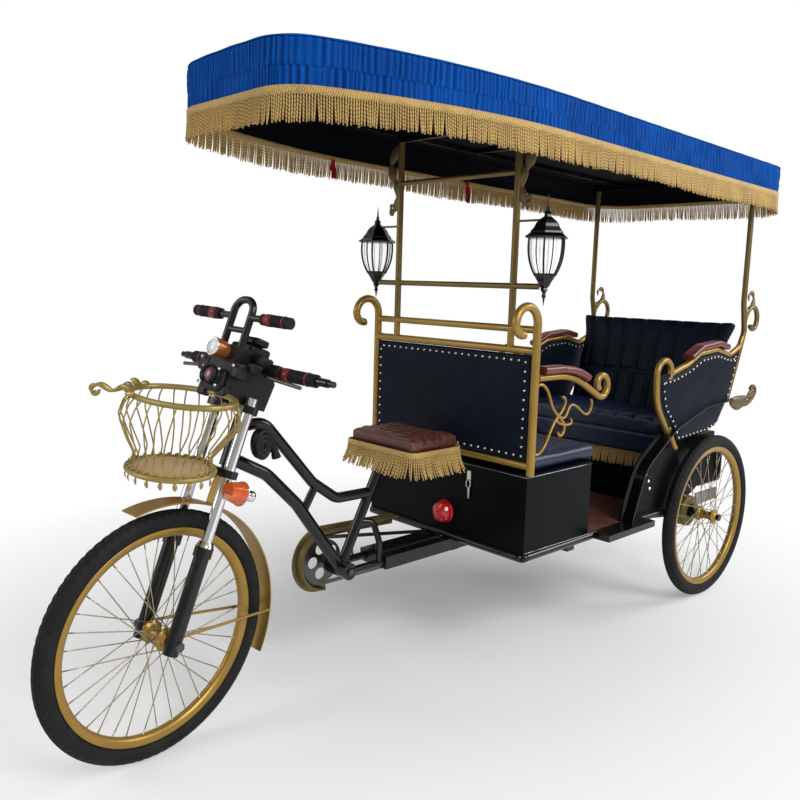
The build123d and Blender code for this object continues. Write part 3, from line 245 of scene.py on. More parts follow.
class Val:
    # a node's output in an expression: + - * / and abs add Math nodes
    def __init__(self, tree, socket):
        self.tree, self.socket = tree, socket

    def math(self, operation, other=None, first=None):
        made = self.tree.nodes.new("ShaderNodeMath")
        made.operation = operation
        pair = (self, other) if first is None else (first, self)
        for slot, value in zip(made.inputs, pair):
            if isinstance(value, Val):
                self.tree.links.new(value.socket, slot)
            elif value is not None:
                slot.default_value = value
        return Val(self.tree, made.outputs[0])

    def __add__(self, other): return self.math("ADD", other)
    def __radd__(self, other): return self.math("ADD", other)
    def __sub__(self, other): return self.math("SUBTRACT", other)
    def __rsub__(self, other): return self.math("SUBTRACT", first=other)
    def __mul__(self, other): return self.math("MULTIPLY", other)
    def __rmul__(self, other): return self.math("MULTIPLY", other)
    def __truediv__(self, other): return self.math("DIVIDE", other)
    def __rtruediv__(self, other): return self.math("DIVIDE", first=other)
    def __abs__(self): return self.math("ABSOLUTE")


class Finish:
    # a material: node() adds a node by type, settings and sockets; shade() fills the surface shader
    def __init__(self, name):
        self.material = bpy.data.materials.new(name)
        self.material.use_nodes = True
        self.tree = self.material.node_tree
        self.shader = self.tree.nodes["Principled BSDF"]
        self.here = self.node("ShaderNodeTexCoord", out="Object")

    def put(self, socket, value):
        if isinstance(value, Val):
            self.tree.links.new(value.socket, socket)
        else:
            socket.default_value = value

    def node(self, kind, settings=None, sockets=None, out=0):
        made = self.tree.nodes.new(kind)
        for key, value in (settings or {}).items():
            setattr(made, key, value)
        for key, value in (sockets or {}).items():
            self.put(made.inputs[key], value)
        return Val(self.tree, made.outputs[out])

    def noise(self, scale, detail=3, rough=0.55, vector=None):
        sockets = {"Vector": vector or self.here, "Scale": scale, "Detail": detail, "Roughness": rough}
        return self.node("ShaderNodeTexNoise", {}, sockets)

    def wave(self, way, scale, distortion):
        sockets = {"Vector": self.here, "Scale": scale, "Distortion": distortion}
        return self.node("ShaderNodeTexWave", {"bands_direction": way}, sockets)

    def ramp(self, value, low, high):
        return self.node("ShaderNodeMapRange", {}, {"Value": value, "From Min": low, "From Max": high})

    def mix(self, factor, dark, light):
        sockets = {"Factor": factor, 6: (*dark, 1), 7: (*light, 1)}
        return self.node("ShaderNodeMix", {"data_type": "RGBA"}, sockets, out=2)

    def bump(self, height, strength, distance):
        return self.node("ShaderNodeBump", {}, {"Height": height, "Strength": strength, "Distance": distance})

    def along(self):
        return self.node("ShaderNodeAttribute", {"attribute_name": "along"}, {}, out="Fac")

    def shade(self, **sockets):
        for key, value in sockets.items():
            self.put(self.shader.inputs[key.replace("_", " ")], value)
        return self.material


def metalPaint(name, colour, dull, metallic, roughness, coat=0.0, dirt=0.25, specular=0.5):
    # paint with slow cloudy wear, fine specks and a faint unevenness
    f = Finish(name)
    cloud = f.ramp(f.noise(9, 4), 0.42, 0.72)
    speck = f.ramp(f.noise(420, 2), 0.62, 0.75)
    wear = cloud * dirt + speck * (dirt * 0.5)
    return f.shade(Base_Color=f.mix(wear, colour, dull), Metallic=metallic, Roughness=wear * 0.35 + roughness,
                   Coat_Weight=coat, Coat_Roughness=0.08, Specular_IOR_Level=specular,
                   Normal=f.bump(f.noise(60, 2), 0.06, 0.001))


def leather(name, colour, worn, roughness, grain, specular):
    # pebbled grain from cells, with creases from stretched noise and paler rubbed places
    f = Finish(name)
    sockets = {"Vector": f.here, "Scale": 520.0, "Smoothness": 0.6}
    cells = f.node("ShaderNodeTexVoronoi", {"feature": "SMOOTH_F1"}, sockets)
    creases = f.ramp(abs(f.noise(26, 5, 0.6) - 0.5), 0.0, 0.06)
    rubbed = f.ramp(f.noise(5, 3), 0.5, 0.75)
    height = cells * 0.6 + creases * 0.5
    return f.shade(Base_Color=f.mix(rubbed * 0.5 + (1 - creases) * 0.25, colour, worn),
                   Roughness=cells * 0.14 + roughness, Normal=f.bump(height, grain, 0.0012),
                   Specular_IOR_Level=specular)


def plastic(name, colour, worn, roughness=0.45):
    # moulded plastic: fine spark texture, slow fade
    f = Finish(name)
    spark = f.noise(900, 2)
    fade = f.ramp(f.noise(14, 3), 0.45, 0.75)
    return f.shade(Base_Color=f.mix(fade * 0.5, colour, worn), Roughness=spark * 0.16 + (roughness - 0.08),
                   Specular_IOR_Level=0.3, Normal=f.bump(spark, 0.12, 0.0006))


def lens(name, colour, deep, ribs=45.0, alpha=1.0, paintedGlow=0.0):
    # coloured clear plastic or glass with fine ribs and a lit-looking depth, and an optional painted glow of
    # white emission
    f = Finish(name)
    wave = f.wave("Z", ribs, 0.0)
    cloud = f.ramp(f.noise(40, 2), 0.35, 0.7)
    return f.shade(Base_Color=f.mix(cloud * 0.6, colour, deep), Roughness=cloud * 0.1 + 0.08, IOR=1.5,
                   Coat_Weight=0.6, Coat_Roughness=0.03, Normal=f.bump(wave, 0.25, 0.0008), Alpha=alpha,
                   Emission_Color=(1, 1, 1, 1), Emission_Strength=paintedGlow)


def wood(name, pale, dark):
    # stretched rings along the length, under varnish
    f = Finish(name)
    scaled = f.node("ShaderNodeMapping", {}, {"Vector": f.here, "Scale": (6.0, 60.0, 60.0)})
    streak = f.ramp(f.noise(2.2, 6, 0.65, scaled), 0.36, 0.66)
    return f.shade(Base_Color=f.mix(streak, dark, pale), Roughness=streak * 0.12 + 0.3, Coat_Weight=0.2,
                   Coat_Roughness=0.15, Normal=f.bump(streak, 0.15, 0.0008))


def rubber(name, colour, dusty, dust=0.35):
    # matt and fine-grained, with dust in slow clouds
    f = Finish(name)
    cloud = f.ramp(f.noise(16, 5, 0.65), 0.45, 0.75)
    fine = f.noise(700, 2)
    return f.shade(Base_Color=f.mix(cloud * dust, colour, dusty), Roughness=cloud * 0.15 + 0.62,
                   Specular_IOR_Level=0.2, Normal=f.bump(fine, 0.15, 0.0006))


def polished(name, colour, roughness=0.09):
    # bare metal, a little darker and duller where it is smeared
    f = Finish(name)
    smear = f.ramp(f.noise(22, 4), 0.4, 0.75)
    return f.shade(Base_Color=f.mix(smear * 0.3, colour, tuple(c * 0.75 for c in colour)), Metallic=1.0,
                   Roughness=smear * 0.12 + roughness)


def cloth(name, colour, shade, sheen=0.0):
    # woven cloth: fine crossed threads, soft fading, and painted shade read from the along value: darker in
    # the folds, lighter where the value is high
    f = Finish(name)
    weave = (f.wave("X", 260.0, 0.6) + f.wave("Y", 260.0, 0.6) + f.wave("Z", 260.0, 0.6)) / 3
    foldShade = f.ramp(f.along(), 0.0, 1.0)
    patch = f.ramp(f.noise(7, 3), 0.35, 0.75)
    return f.shade(Base_Color=f.mix(foldShade * 0.75 + patch * 0.25, shade, colour), Roughness=weave * 0.1 + 0.68,
                   Sheen_Weight=sheen, Sheen_Roughness=0.45, Specular_IOR_Level=0.06,
                   Normal=f.bump(weave, 0.25, 0.0006))


def bullion(name, colour, shade):
    # twisted cords: slanted strands from the along value, which counts turns, with painted shade in the
    # grooves between the strands
    f = Finish(name)
    strand = abs(f.along().math("FRACT") - 0.5) * 2
    patch = f.ramp(f.noise(12, 3), 0.35, 0.7)
    # painted shade: the grooves between strands are mixed toward the shade colour
    depth = f.ramp(strand, 0.1, 0.75)
    return f.shade(Base_Color=f.mix(depth * 0.7 + patch * 0.3, shade, colour), Roughness=0.55 + 0.2 * patch,
                   Sheen_Weight=0.3, Sheen_Roughness=0.4, Normal=f.bump(depth, 0.5, 0.0015))


finishes = {
    "gold_paint": metalPaint("goldPaint", (0.37, 0.225, 0.048), (0.13, 0.075, 0.018), 0.6, 0.34),
    "post_gold": metalPaint("postGold", (0.19, 0.125, 0.038), (0.07, 0.045, 0.015), 0.6, 0.34),
    "basket_gold": metalPaint("basketGold", (0.36, 0.26, 0.075), (0.15, 0.11, 0.035), 0.5, 0.38),
    "cast_gold": metalPaint("castGold", (0.17, 0.12, 0.058), (0.04, 0.03, 0.018), 0.55, 0.36, dirt=0.6),
    "olive_gold": metalPaint("oliveGold", (0.17, 0.13, 0.04), (0.05, 0.04, 0.02), 0.5, 0.42, dirt=0.5),
    "bronze_paint": metalPaint("bronzePaint", (0.16, 0.085, 0.03), (0.03, 0.02, 0.012), 0.6, 0.4),
    "copper_paint": metalPaint("copperPaint", (0.62, 0.20, 0.06), (0.25, 0.07, 0.02), 0.7, 0.24, 0.3),
    "grip_red": metalPaint("gripRed", (0.22, 0.022, 0.016), (0.10, 0.012, 0.01), 0.3, 0.3),
    "black_paint": metalPaint("blackPaint", (0.003, 0.003, 0.0038), (0.009, 0.009, 0.009), 0.0, 0.15,
                              dirt=0.3, specular=0.45),
    "black_board": metalPaint("blackBoard", (0.002, 0.0026, 0.003), (0.005, 0.006, 0.0065), 0.0, 0.3,
                              dirt=0.3, specular=0.07),
    "chrome": polished("chrome", (0.78, 0.78, 0.80)),
    "steel": polished("steel", (0.12, 0.115, 0.11), 0.34),
    "spoke_wire": polished("spokeWire", (0.42, 0.36, 0.25), 0.28),
    "stud_dome": polished("studDome", (0.62, 0.60, 0.55), 0.2),
    "rail_steel": polished("railSteel", (0.42, 0.40, 0.38), 0.4),
    "trim_strip": polished("trimStrip", (0.22, 0.24, 0.30), 0.22),
    "tyre": rubber("tyreRubber", (0.008, 0.0085, 0.0095), (0.04, 0.038, 0.036)),
    "black_rubber": rubber("gripRubber", (0.01, 0.01, 0.011), (0.03, 0.03, 0.03), 0.2),
    "brown_floor": rubber("floorMat", (0.10, 0.035, 0.025), (0.18, 0.09, 0.07), 0.6),
    "navy_leather": leather("navyLeather", (0.002, 0.0048, 0.0115), (0.005, 0.011, 0.024), 0.4, 0.2, 0.1),
    "blue_leather": leather("blueLeather", (0.004, 0.0095, 0.04), (0.013, 0.028, 0.09), 0.3, 0.3, 0.5),
    "brown_leather": leather("brownLeather", (0.082, 0.023, 0.016), (0.20, 0.085, 0.065), 0.28, 0.35, 0.5),
    "maroon_wood": wood("maroonWood", (0.20, 0.028, 0.018), (0.07, 0.012, 0.01)),
    "dark_plastic": plastic("darkPlastic", (0.005, 0.005, 0.0055), (0.016, 0.016, 0.016)),
    "peach_plastic": plastic("trayPlastic", (0.52, 0.36, 0.17), (0.38, 0.25, 0.11), 0.4),
    "red_lens": lens("redLens", (0.55, 0.008, 0.012), (0.24, 0.003, 0.005)),
    "rose_lens": lens("roseLens", (0.20, 0.06, 0.07), (0.08, 0.015, 0.02)),
    "orange_lens": lens("orangeLens", (0.66, 0.11, 0.01), (0.36, 0.035, 0.004)),
    "white_glass": lens("lanternGlass", (0.80, 0.81, 0.80), (0.62, 0.64, 0.64), 10.0),
    # the lantern panes glow white though no lamp is inside: painted light
    "lantern_pane": lens("lanternPane", (0.95, 0.96, 0.97), (0.85, 0.87, 0.88), 10.0, 0.35, 0.5),
    "blue_cloth": cloth("blueCloth", (0.0015, 0.100, 0.47), (0.001, 0.011, 0.08)),
    "canopy_lining": cloth("canopyLining", (0.0022, 0.0022, 0.006), (0.001, 0.001, 0.003)),
    "red_ribbon": cloth("redRibbon", (0.42, 0.006, 0.008), (0.2, 0.003, 0.004), 0.2),
    "gold_fringe": bullion("goldFringe", (0.66, 0.44, 0.13), (0.23, 0.13, 0.03)),
}
ownFinish = {s["node"]: s["material_slot"] for s in frame["record"]["subparts"]}
ownFinish |= {"front_posts": "post_gold", "rear_posts": "post_gold"}
for nodeName, nodeObject in frame["nodes"].items():
    nodeObject.data.materials.clear()
    nodeObject.data.materials.append(finishes[ownFinish[nodeName]])
print("finishes made", len(finishes))

# Canopy: a crowned top sheet over the roof frame, a pleated valance hung from its edge, and a dark lining
canopy = {"half": 450.0, "front": 2023.0, "rear": -385.0, "noseHalf": 150.0, "noseRadius": 150.0,
          "taperRadius": 1800.0, "rearRadius": 190.0, "tilt": 1.2, "datumX": 700.0, "hem": 1653.0,
          "valance": 100.0, "crown": 22.0, "spineIn": 330.0}
valanceCut = {"pleatPitch": 15.0, "pleatSteps": 6, "pleatDepth": 4.2, "widths": (0.5, 1.6),
              "depths": (0.45, 1.5), "seam": 0.4, "swell": 1.6, "swellLengths": (83.0, 41.0), "crease": 0.8,
              "creaseLengths": (9.0, 57.0), "inset": 1.5, "topInset": 2.5, "deepest": -5.0,
              "seamBlend": 0.02, "seamPinch": 0.85, "seamWidth": 0.03, "topPinch": 0.7,
              "topEdge": (0.88, 0.98), "topTurn": (0.9, 0.98), "slack": 0.1,
              "rows": (0, 0.06, 0.13, 0.2, 0.27, 0.33, 0.37, 0.40, 0.43, 0.48, 0.56, 0.65, 0.74, 0.82, 0.89,
                       0.94, 0.98)}
# painted shading of the valance: base level, shade in the pleat hollows, shade at the seam, a highlight near
# the top edge and where it starts
valanceShading = {"base": 0.15, "foldShade": 0.75, "seam": 0.3, "top": 0.5, "topFrom": 0.8}
topCut = {"spacing": 14.0, "rows": (-0.02, 0.0, 0.012, 0.03, *np.linspace(0.08, 1, 9)), "lip": (-5.0, -3.0),
          "lipOut": 0.6, "ripple": 1.4, "rippleLength": 19.0, "rippleFade": 9.0}
liningCut = {"inset": 9.0, "spacing": 22.0, "rows": (0.0, 0.0, 0.01, *np.linspace(0.06, 1, 7)), "foot": -3.0,
             "belowTop": 16.0, "rise": 14.0, "most": 82.0}
weld = 0.0002


def canopyRing(inset, spacing):
    # half outline of tail corner, long taper and nose corner as arcs, mirrored, then spaced evenly
    c, t = canopy, np.linspace(0, 1, 160)[:, None]
    swing, rise = c["taperRadius"] - c["noseRadius"], c["noseHalf"] - c["half"] + c["taperRadius"]
    run = np.sqrt(swing**2 - rise**2)
    taperX, noseTurn = c["front"] - c["noseRadius"] - run, np.arctan2(run, rise)

    def arc(x, y, radius, start, end):
        a = start + (end - start) * t
        return np.hstack([x + (radius - inset) * np.cos(a), y + (radius - inset) * np.sin(a)])

    corner = arc(c["rear"] + c["rearRadius"], c["half"] - c["rearRadius"], c["rearRadius"], np.pi, np.pi / 2)
    taper = arc(taperX, c["half"] - c["taperRadius"], c["taperRadius"], np.pi / 2, np.pi / 2 - noseTurn)
    nose = arc(c["front"] - c["noseRadius"], c["noseHalf"], c["noseRadius"], np.pi / 2 - noseTurn, 0)
    line = np.vstack([[(c["rear"] + inset, 0)], corner, taper, nose, [(c["front"] - inset, 0)]])
    ring, s = evenly(np.vstack([line, line[-2:0:-1] * [1, -1]]), spacing, nearest=False)
    return ring, leftOf(ring), s


def onCanopy(x, y, z):
    # canopy coordinates, tilted up towards the front about the datum, as vehicle millimetres
    tilt, ahead = np.radians(canopy["tilt"]), x - canopy["datumX"]
    return xyz(canopy["datumX"] + ahead * np.cos(tilt) - z * np.sin(tilt), y,
               canopy["hem"] + ahead * np.sin(tilt) + z * np.cos(tilt))


def edgeHeight(y):
    # the crown: highest along the middle, falling with the square of the distance from it
    return canopy["valance"] + canopy["crown"] * (1 - (y / canopy["half"]) ** 2)


def drawnIn(ring, share):
    # ring points carried a share of the way to the nearest place on the canopy's middle line
    spine = np.clip(ring[:, 0], canopy["rear"] + canopy["spineIn"], canopy["front"] - canopy["spineIn"])
    return ring[:, 0] * (1 - share) + spine * share, ring[:, 1] * (1 - share)


def surfaceArea(surface):
    # half the cross products of the quads' diagonals, in square metres
    p, f = place(surface[0]).reshape(-1, 3), surface[1]
    return float(np.linalg.norm(np.cross(p[f[:, 2]] - p[f[:, 0]], p[f[:, 3]] - p[f[:, 1]]), axis=1).sum() / 2)


def mergeDoubles(piece):
    # joins points of a finished mesh that lie together
    shell = bmesh.new()
    shell.from_mesh(piece.data)
    bmesh.ops.remove_doubles(shell, verts=shell.verts, dist=weld)
    shell.to_mesh(piece.data)
    shell.free()


def gathers():
    # pleats of uneven width round the ring: a saw of shares, each pleat with its own depth
    ends = np.concatenate([[0], np.cumsum(dice.uniform(*valanceCut["widths"], pleatCount))])
    count = np.interp(np.arange(len(ring)) / len(ring) * ends[-1], ends, np.arange(pleatCount + 1))
    depth = dice.uniform(*valanceCut["depths"], pleatCount)[count.astype(int) % pleatCount]
    return np.abs(2 * (count % 1) - 1) * depth + 0.5 * (1 - depth)


# the cloth leaves the ring by the pleat depth, drawn in at the seam and the top edge; the band below the
# seam is gathered apart from the band above it, and slow swells and small creases cross both
ring, outward, along = canopyRing(0.0, valanceCut["pleatPitch"] / valanceCut["pleatSteps"])
pleatCount = int(len(ring) / valanceCut["pleatSteps"])
lowWave, highWave = gathers(), gathers()
rows = np.array(valanceCut["rows"])[:, None]
seamUp = rows - valanceCut["seam"]
above = rampUp(seamUp, -valanceCut["seamBlend"], valanceCut["seamBlend"])
wave = lowWave * (1 - above) + highWave * above
pinch = 1 - valanceCut["seamPinch"] * bell(seamUp, valanceCut["seamWidth"])
pinch = pinch - valanceCut["topPinch"] * rampUp(rows, *valanceCut["topEdge"])
hang = np.sin(np.pi * rows / rows.max())
long, short = valanceCut["swellLengths"]
swell = valanceCut["swell"] * hang * (np.sin(along / long) + np.sin(along / short + 4 * rows))
short, long = valanceCut["creaseLengths"]
crease = valanceCut["crease"] * hang * np.sin(along / short + 11 * rows + 3 * np.sin(along / long))
offset = valanceCut["pleatDepth"] * (wave - 0.5) * pinch + swell + crease
offset = offset - valanceCut["inset"] - valanceCut["topInset"] * rampUp(rows, *valanceCut["topTurn"]) ** 2
offset = np.maximum(offset, valanceCut["deepest"] + valanceCut["slack"] * offset)
flat = ring + outward * offset[..., None]
points = onCanopy(flat[..., 0], flat[..., 1], rows * edgeHeight(ring[:, 1]))
valanceSurface = (points, gridFaces(len(rows), len(ring), False, True))
# painted shade on the valance: darker in the pleat hollows and along the pinched seam, with a painted
# highlight near the top edge
foldShade = valanceShading["base"] + valanceShading["foldShade"] * wave
foldShade = foldShade - valanceShading["seam"] * bell(seamUp, valanceCut["seamBlend"])
foldShade = np.clip(foldShade + valanceShading["top"] * (1 - pinch) * (rows > valanceShading["topFrom"]), 0, 1)
valance = newPiece("canopyValance", [valanceSurface], "carriage", "blue_cloth", along=foldShade)
valanceFlat = surfaceArea(valanceSurface)

# the top turns down over the edge in a short lip, and ripples run in from the edge and fade
topRing, topOut, topAlong = canopyRing(0.0, topCut["spacing"])
v = np.array(topCut["rows"])[:, None]
inward = np.clip(v, 0, 1)
lift = np.where(v < 0, topCut["lip"][0], np.where(v == 0, topCut["lip"][1], 0.0))
ripple = np.sin(topAlong / topCut["rippleLength"]) * np.exp(-inward * topCut["rippleFade"])
bulge = np.where(v <= 0, topCut["lipOut"], topCut["ripple"] * ripple)
topX, topY = drawnIn(topRing, inward)
topX, topY = topX + topOut[:, 0] * bulge, topY + topOut[:, 1] * bulge
topSurface = (onCanopy(topX, topY, edgeHeight(topY) + lift), gridFaces(len(v), len(topRing), False, True))
# painted shade and highlight on the top sheet: darker and lighter with the ripples, and lighter towards the
# middle
topShading = np.clip(0.85 + 0.3 * ripple + 0.2 * inward, 0, 1)
topSheet = newPiece("canopyTop", [topSurface], "carriage", "blue_cloth", along=topShading)
mergeDoubles(topSheet)
surfaceArea(topSurface)
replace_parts(topSheet, "canopy")

# the lining rises from the hem inside the valance and lies a little below the top
liningRing = canopyRing(liningCut["inset"], liningCut["spacing"])[0]
w = np.array(liningCut["rows"])[:, None]
down = edgeHeight(liningRing[:, 1]) - liningCut["belowTop"] + 0 * w
down[0] = liningCut["foot"]
liningHigh = np.minimum(down + liningCut["rise"] * w, liningCut["most"])
liningQuads = gridFaces(len(w), len(liningRing), False, True)
liningSurface = (onCanopy(*drawnIn(liningRing, w), liningHigh), liningQuads)
lining = newPiece("canopyLining", [liningSurface], "carriage", "blue_cloth", "canopy_lining", flip=True,
                  along=np.full(w.size * len(liningRing), 0.5))
mergeDoubles(lining)
surfaceArea(liningSurface)
print("canopy made", pleatCount, "pleats")

# Fringes: a braided heading with twisted cords that hang in loose clumps
fringeCut = {"girths": (2.07, 2.3, 2.415, 2.3, 2.415, 1.84), "sides": 6, "clump": 34.0, "gather": 0.16,
             "clumpSway": 170.0, "dropSway": 140.0, "tipSway": 47.0, "turnsPerMm": 0.11, "bandStep": 5.0,
             "bandTurn": 6.0, "scallop": 0.18, "scallopLength": 2.4, "pull": (0.6, 0.8), "loose": 0.25,
             "dropWave": 0.05, "dropStray": 0.12, "tipWave": 1.5, "standOff": 1.5, "tucked": 0.6,
             "band": ((-1.2, 2), (2.6, 2.5), (3.4, 0), (3.0, -0.35), (3.6, -0.5), (3.0, -0.65), (3.4, -1.0),
                      (-1.2, -1))}
roofFringe = {"inset": 1.0, "spacing": 10.0, "drop": 68.0, "pitch": 6.6, "heading": 17.0, "flare": 4.0}
saddleFringe = {"front": 1480.0, "rear": 1262.0, "half": 155.0, "corner": 22.0, "top": 731.0, "spacing": 6.0,
                "drop": 66.0, "pitch": 6.0, "heading": 14.0, "flare": 20.0, "splay": 12.0}
rearFringe = {"x": 323.0, "half": 329.0, "top": 613.0, "steps": 80, "drop": 60.0, "pitch": 6.6,
              "heading": 16.0, "flare": 6.0}


def fringe(path, out, cut, closed):
    # cords along a path: down by the drop, drawn towards their clump's middle and out by the flare times the
    # square of the share of the drop, each tip strayed by up to half the splay, with a flat heading above
    base, faced = [np.vstack([table, table[:1]]) if closed else table for table in (path, out)]
    reach, splay = lengthAlong(base), cut.get("splay", 3.0)
    count = int(reach[-1] / cut["pitch"])
    s = (np.arange(count) + 0.5) * reach[-1] / count

    def sample(at, table):
        return sampled(table, reach, at % reach[-1] if closed else at)

    index = np.floor(s / fringeCut["clump"] + 0.5 * np.sin(s / fringeCut["clumpSway"]))
    middles = np.array([s[index == k].mean() for k in index])
    least, more = fringeCut["pull"]
    pull = fringeCut["gather"] * (least + more * dice.random(count))
    pull = pull * (dice.random(count) > fringeCut["loose"])
    uneven = fringeCut["dropWave"] * np.sin(s / fringeCut["dropSway"])
    uneven = uneven + fringeCut["dropStray"] * (dice.random(count) - 0.5)
    length = cut["drop"] * (1 + uneven)[:, None]
    t = np.linspace(0, 1, len(fringeCut["girths"]))
    stray = splay * (dice.random(count) - 0.5)[:, None] * t**2
    where = s[:, None] + ((middles - s) * pull)[:, None] * t**1.5 + stray
    where = where if closed else np.clip(where, 0, reach[-1])
    sway = fringeCut["tipWave"] * np.sin(s / fringeCut["tipSway"])
    sway = sway + (1 + splay / 2) * (dice.random(count) - 0.5)
    sway = sway[:, None] * t**2
    out = sample(where, faced) * (fringeCut["standOff"] + sway + cut["flare"] * t**2)[..., None]
    fall = cut["heading"] * fringeCut["tucked"] + length * t
    paths = sample(where, base) + out - fall[..., None] * upright
    cords = tubes(paths, fringeCut["girths"], fringeCut["sides"], across=(0, 1.0, 0.01))
    a = np.arange(fringeCut["sides"]) / fringeCut["sides"]
    turns = (length * t * fringeCut["turnsPerMm"] + dice.random(count)[:, None])[..., None] + a
    steps = max(int(reach[-1] / fringeCut["bandStep"]), 8)
    at = np.linspace(0, reach[-1], steps, endpoint=not closed)
    thick, high = np.array(fringeCut["band"]).T
    scallop = 1 + fringeCut["scallop"] * np.sin(at / fringeCut["scallopLength"])
    band = sample(at, base)[:, None] + sample(at, faced)[:, None] * (thick * scallop[:, None])[..., None]
    band = band + np.where(high > 0, high, high * cut["heading"])[:, None] * upright
    bandTurns = (at / fringeCut["bandTurn"])[:, None] + high
    quads = gridFaces(steps, len(high), closed, True)
    return [cords, (band, quads)], np.concatenate([turns.ravel(), bandTurns.ravel()])


def roundedRing(x0, x1, half, corner, spacing):
    # a rectangle with round corners, anticlockwise, spaced evenly
    x0, x1, y1 = x0 + corner, x1 - corner, half - corner
    a = np.linspace(0, np.pi / 2, 12) + np.arange(4)[:, None] * np.pi / 2
    middles = np.array([(x1, y1), (x0, y1), (x0, -y1), (x1, -y1)])[:, None]
    loop = middles + corner * np.stack([np.cos(a), np.sin(a)], -1)
    return evenly(loop.reshape(-1, 2), spacing, nearest=False)[0]


ring, outward, _ = canopyRing(roofFringe["inset"], roofFringe["spacing"])
cords, turns = fringe(onCanopy(ring[:, 0], ring[:, 1], 0.0), xyz(*outward.T, 0.0), roofFringe, True)
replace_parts(newPiece("canopyFringe", cords, "carriage", "gold_fringe", along=turns), "canopy_fringe")

cut = saddleFringe
ring = roundedRing(cut["rear"], cut["front"], cut["half"], cut["corner"], cut["spacing"])
cords, turns = fringe(xyz(*ring.T, cut["top"]), xyz(*-leftOf(ring).T, 0.0), cut, True)
rearY = np.linspace(-1, 1, rearFringe["steps"]) * rearFringe["half"]
rearOut = np.tile([1.0, 0, 0], (rearFringe["steps"], 1))
rearCords, rearTurns = fringe(xyz(rearFringe["x"], rearY, rearFringe["top"]), rearOut, rearFringe, False)
seatSkirts = newPiece("seatFringes", cords + rearCords, "carriage", "gold_fringe",
                      along=np.concatenate([turns, rearTurns]))
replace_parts(seatSkirts, "seat_fringes")
print("fringes made")

# Wheels: knobbly tyres, hooked rims, crossed wire spokes and flanged hubs
wheel = {"outer": 330.0, "section": 24.0, "rimOuter": 285.3, "rimInner": 262.0, "rimHalf": 15.0, "spokes": 36,
         "crossings": 3, "spokeRadius": 1.5, "flangeHalf": 31.0, "flangeCircle": 25.0, "hubRadius": 20.0,
         "hubHalf": 43.0, "nippleRadius": 2.4, "nippleLength": 15.0, "flangeStep": 3.0, "rimAside": 2.2,
         "track": 375.0}
tread = {"blocks": 84, "steps": 6, "depth": 2.4, "edge": 0.95, "face": 0.9, "middle": 0.36, "ringCut": 0.39,
         "ringHalf": 0.06, "shoulder": (0.42, 0.92), "shoulderGap": 0.34, "middleGap": 0.2, "slant": 0.9,
         "shoulderShift": 0.25, "middleShift": 0.5}
wheelTable = (
    # label, body, centre
    ("front", "front_wheel", onFork(vehicle["forkForward"], 0.0, 0.0)),
    ("rear_left", "rear_wheel_left", np.array([0.0, wheel["track"], vehicle["axleZ"]])),
    ("rear_right", "rear_wheel_right", np.array([0.0, -wheel["track"], vehicle["axleZ"]])),
)


def tyreSurface():
    # a tube of round section about the Y axis; tread blocks stand between grooves cut into its outer third
    w, edge, face = wheel, tread["edge"], tread["face"]
    start = np.arccos((w["rimOuter"] - w["outer"] + w["section"]) / w["section"])
    wall = np.linspace(edge, start, 6)
    b = np.concatenate([-wall[::-1], np.linspace(-face, face, 25), wall])
    a = np.linspace(0, 2 * np.pi, tread["blocks"] * tread["steps"], endpoint=False)
    b, a = np.meshgrid(b, a)
    turn, side = a / (2 * np.pi) * tread["blocks"], np.abs(b)
    shoulder = (side > tread["shoulder"][0]) & (side < tread["shoulder"][1])
    shoulderCut = (turn + tread["shoulderShift"] * np.sign(b)) % 1 < tread["shoulderGap"]
    middleCut = (turn + tread["middleShift"] + b * tread["slant"]) % 1 < tread["middleGap"]
    ringCut = np.abs(side - tread["ringCut"]) < tread["ringHalf"]
    cut = (shoulder & shoulderCut) | ((side < tread["middle"]) & middleCut) | ringCut
    radius = w["section"] - cut * tread["depth"]
    ring = w["outer"] - w["section"] + radius * np.cos(b)
    points = xyz(ring * np.cos(a), radius * np.sin(b), ring * np.sin(a))
    return points.reshape(-1, 3), gridFaces(*b.shape, True, True)


def rimSurface():
    # a hooked box section turned about the Y axis
    h, r0, r1 = wheel["rimHalf"], wheel["rimInner"], wheel["rimOuter"]
    half = np.array([(r0 - 0.5, 0), (r0, h * 0.42), (r0 + 3, h * 0.62), (r0 + 9, h * 0.97), (r1 - 3, h * 1.0),
                     (r1 - 0.6, h * 0.97), (r1 - 0.2, h * 0.8), (r1 - 3.5, h * 0.7), (r1 - 4, 0)])
    return lathe(np.vstack([half, half[-2:0:-1] * [1, -1]]), (0, 0, 0), (0, 1, 0), 180, closed=True)


def hubSurface():
    # barrel, two flanges with rounded edges, and end cones, turned about the Y axis
    f, r, end = wheel["flangeHalf"], wheel["hubRadius"], wheel["hubHalf"]
    half = np.array([(8.4, end), (13, end), (15, end - 5), (17, f + 5), (29, f + 3.2), (30.4, f + 1.5),
                     (30.4, f - 1.5), (29, f - 3.2), (r + 1.5, f - 4.5), (r - 2, f - 12), (r - 4, 8),
                     (r - 4, 0)])
    profile = np.vstack([half, half[-2::-1] * [1, -1]])[::-1]
    return lathe(profile, (0, 0, 0), (0, 1, 0), 40, closed=True)


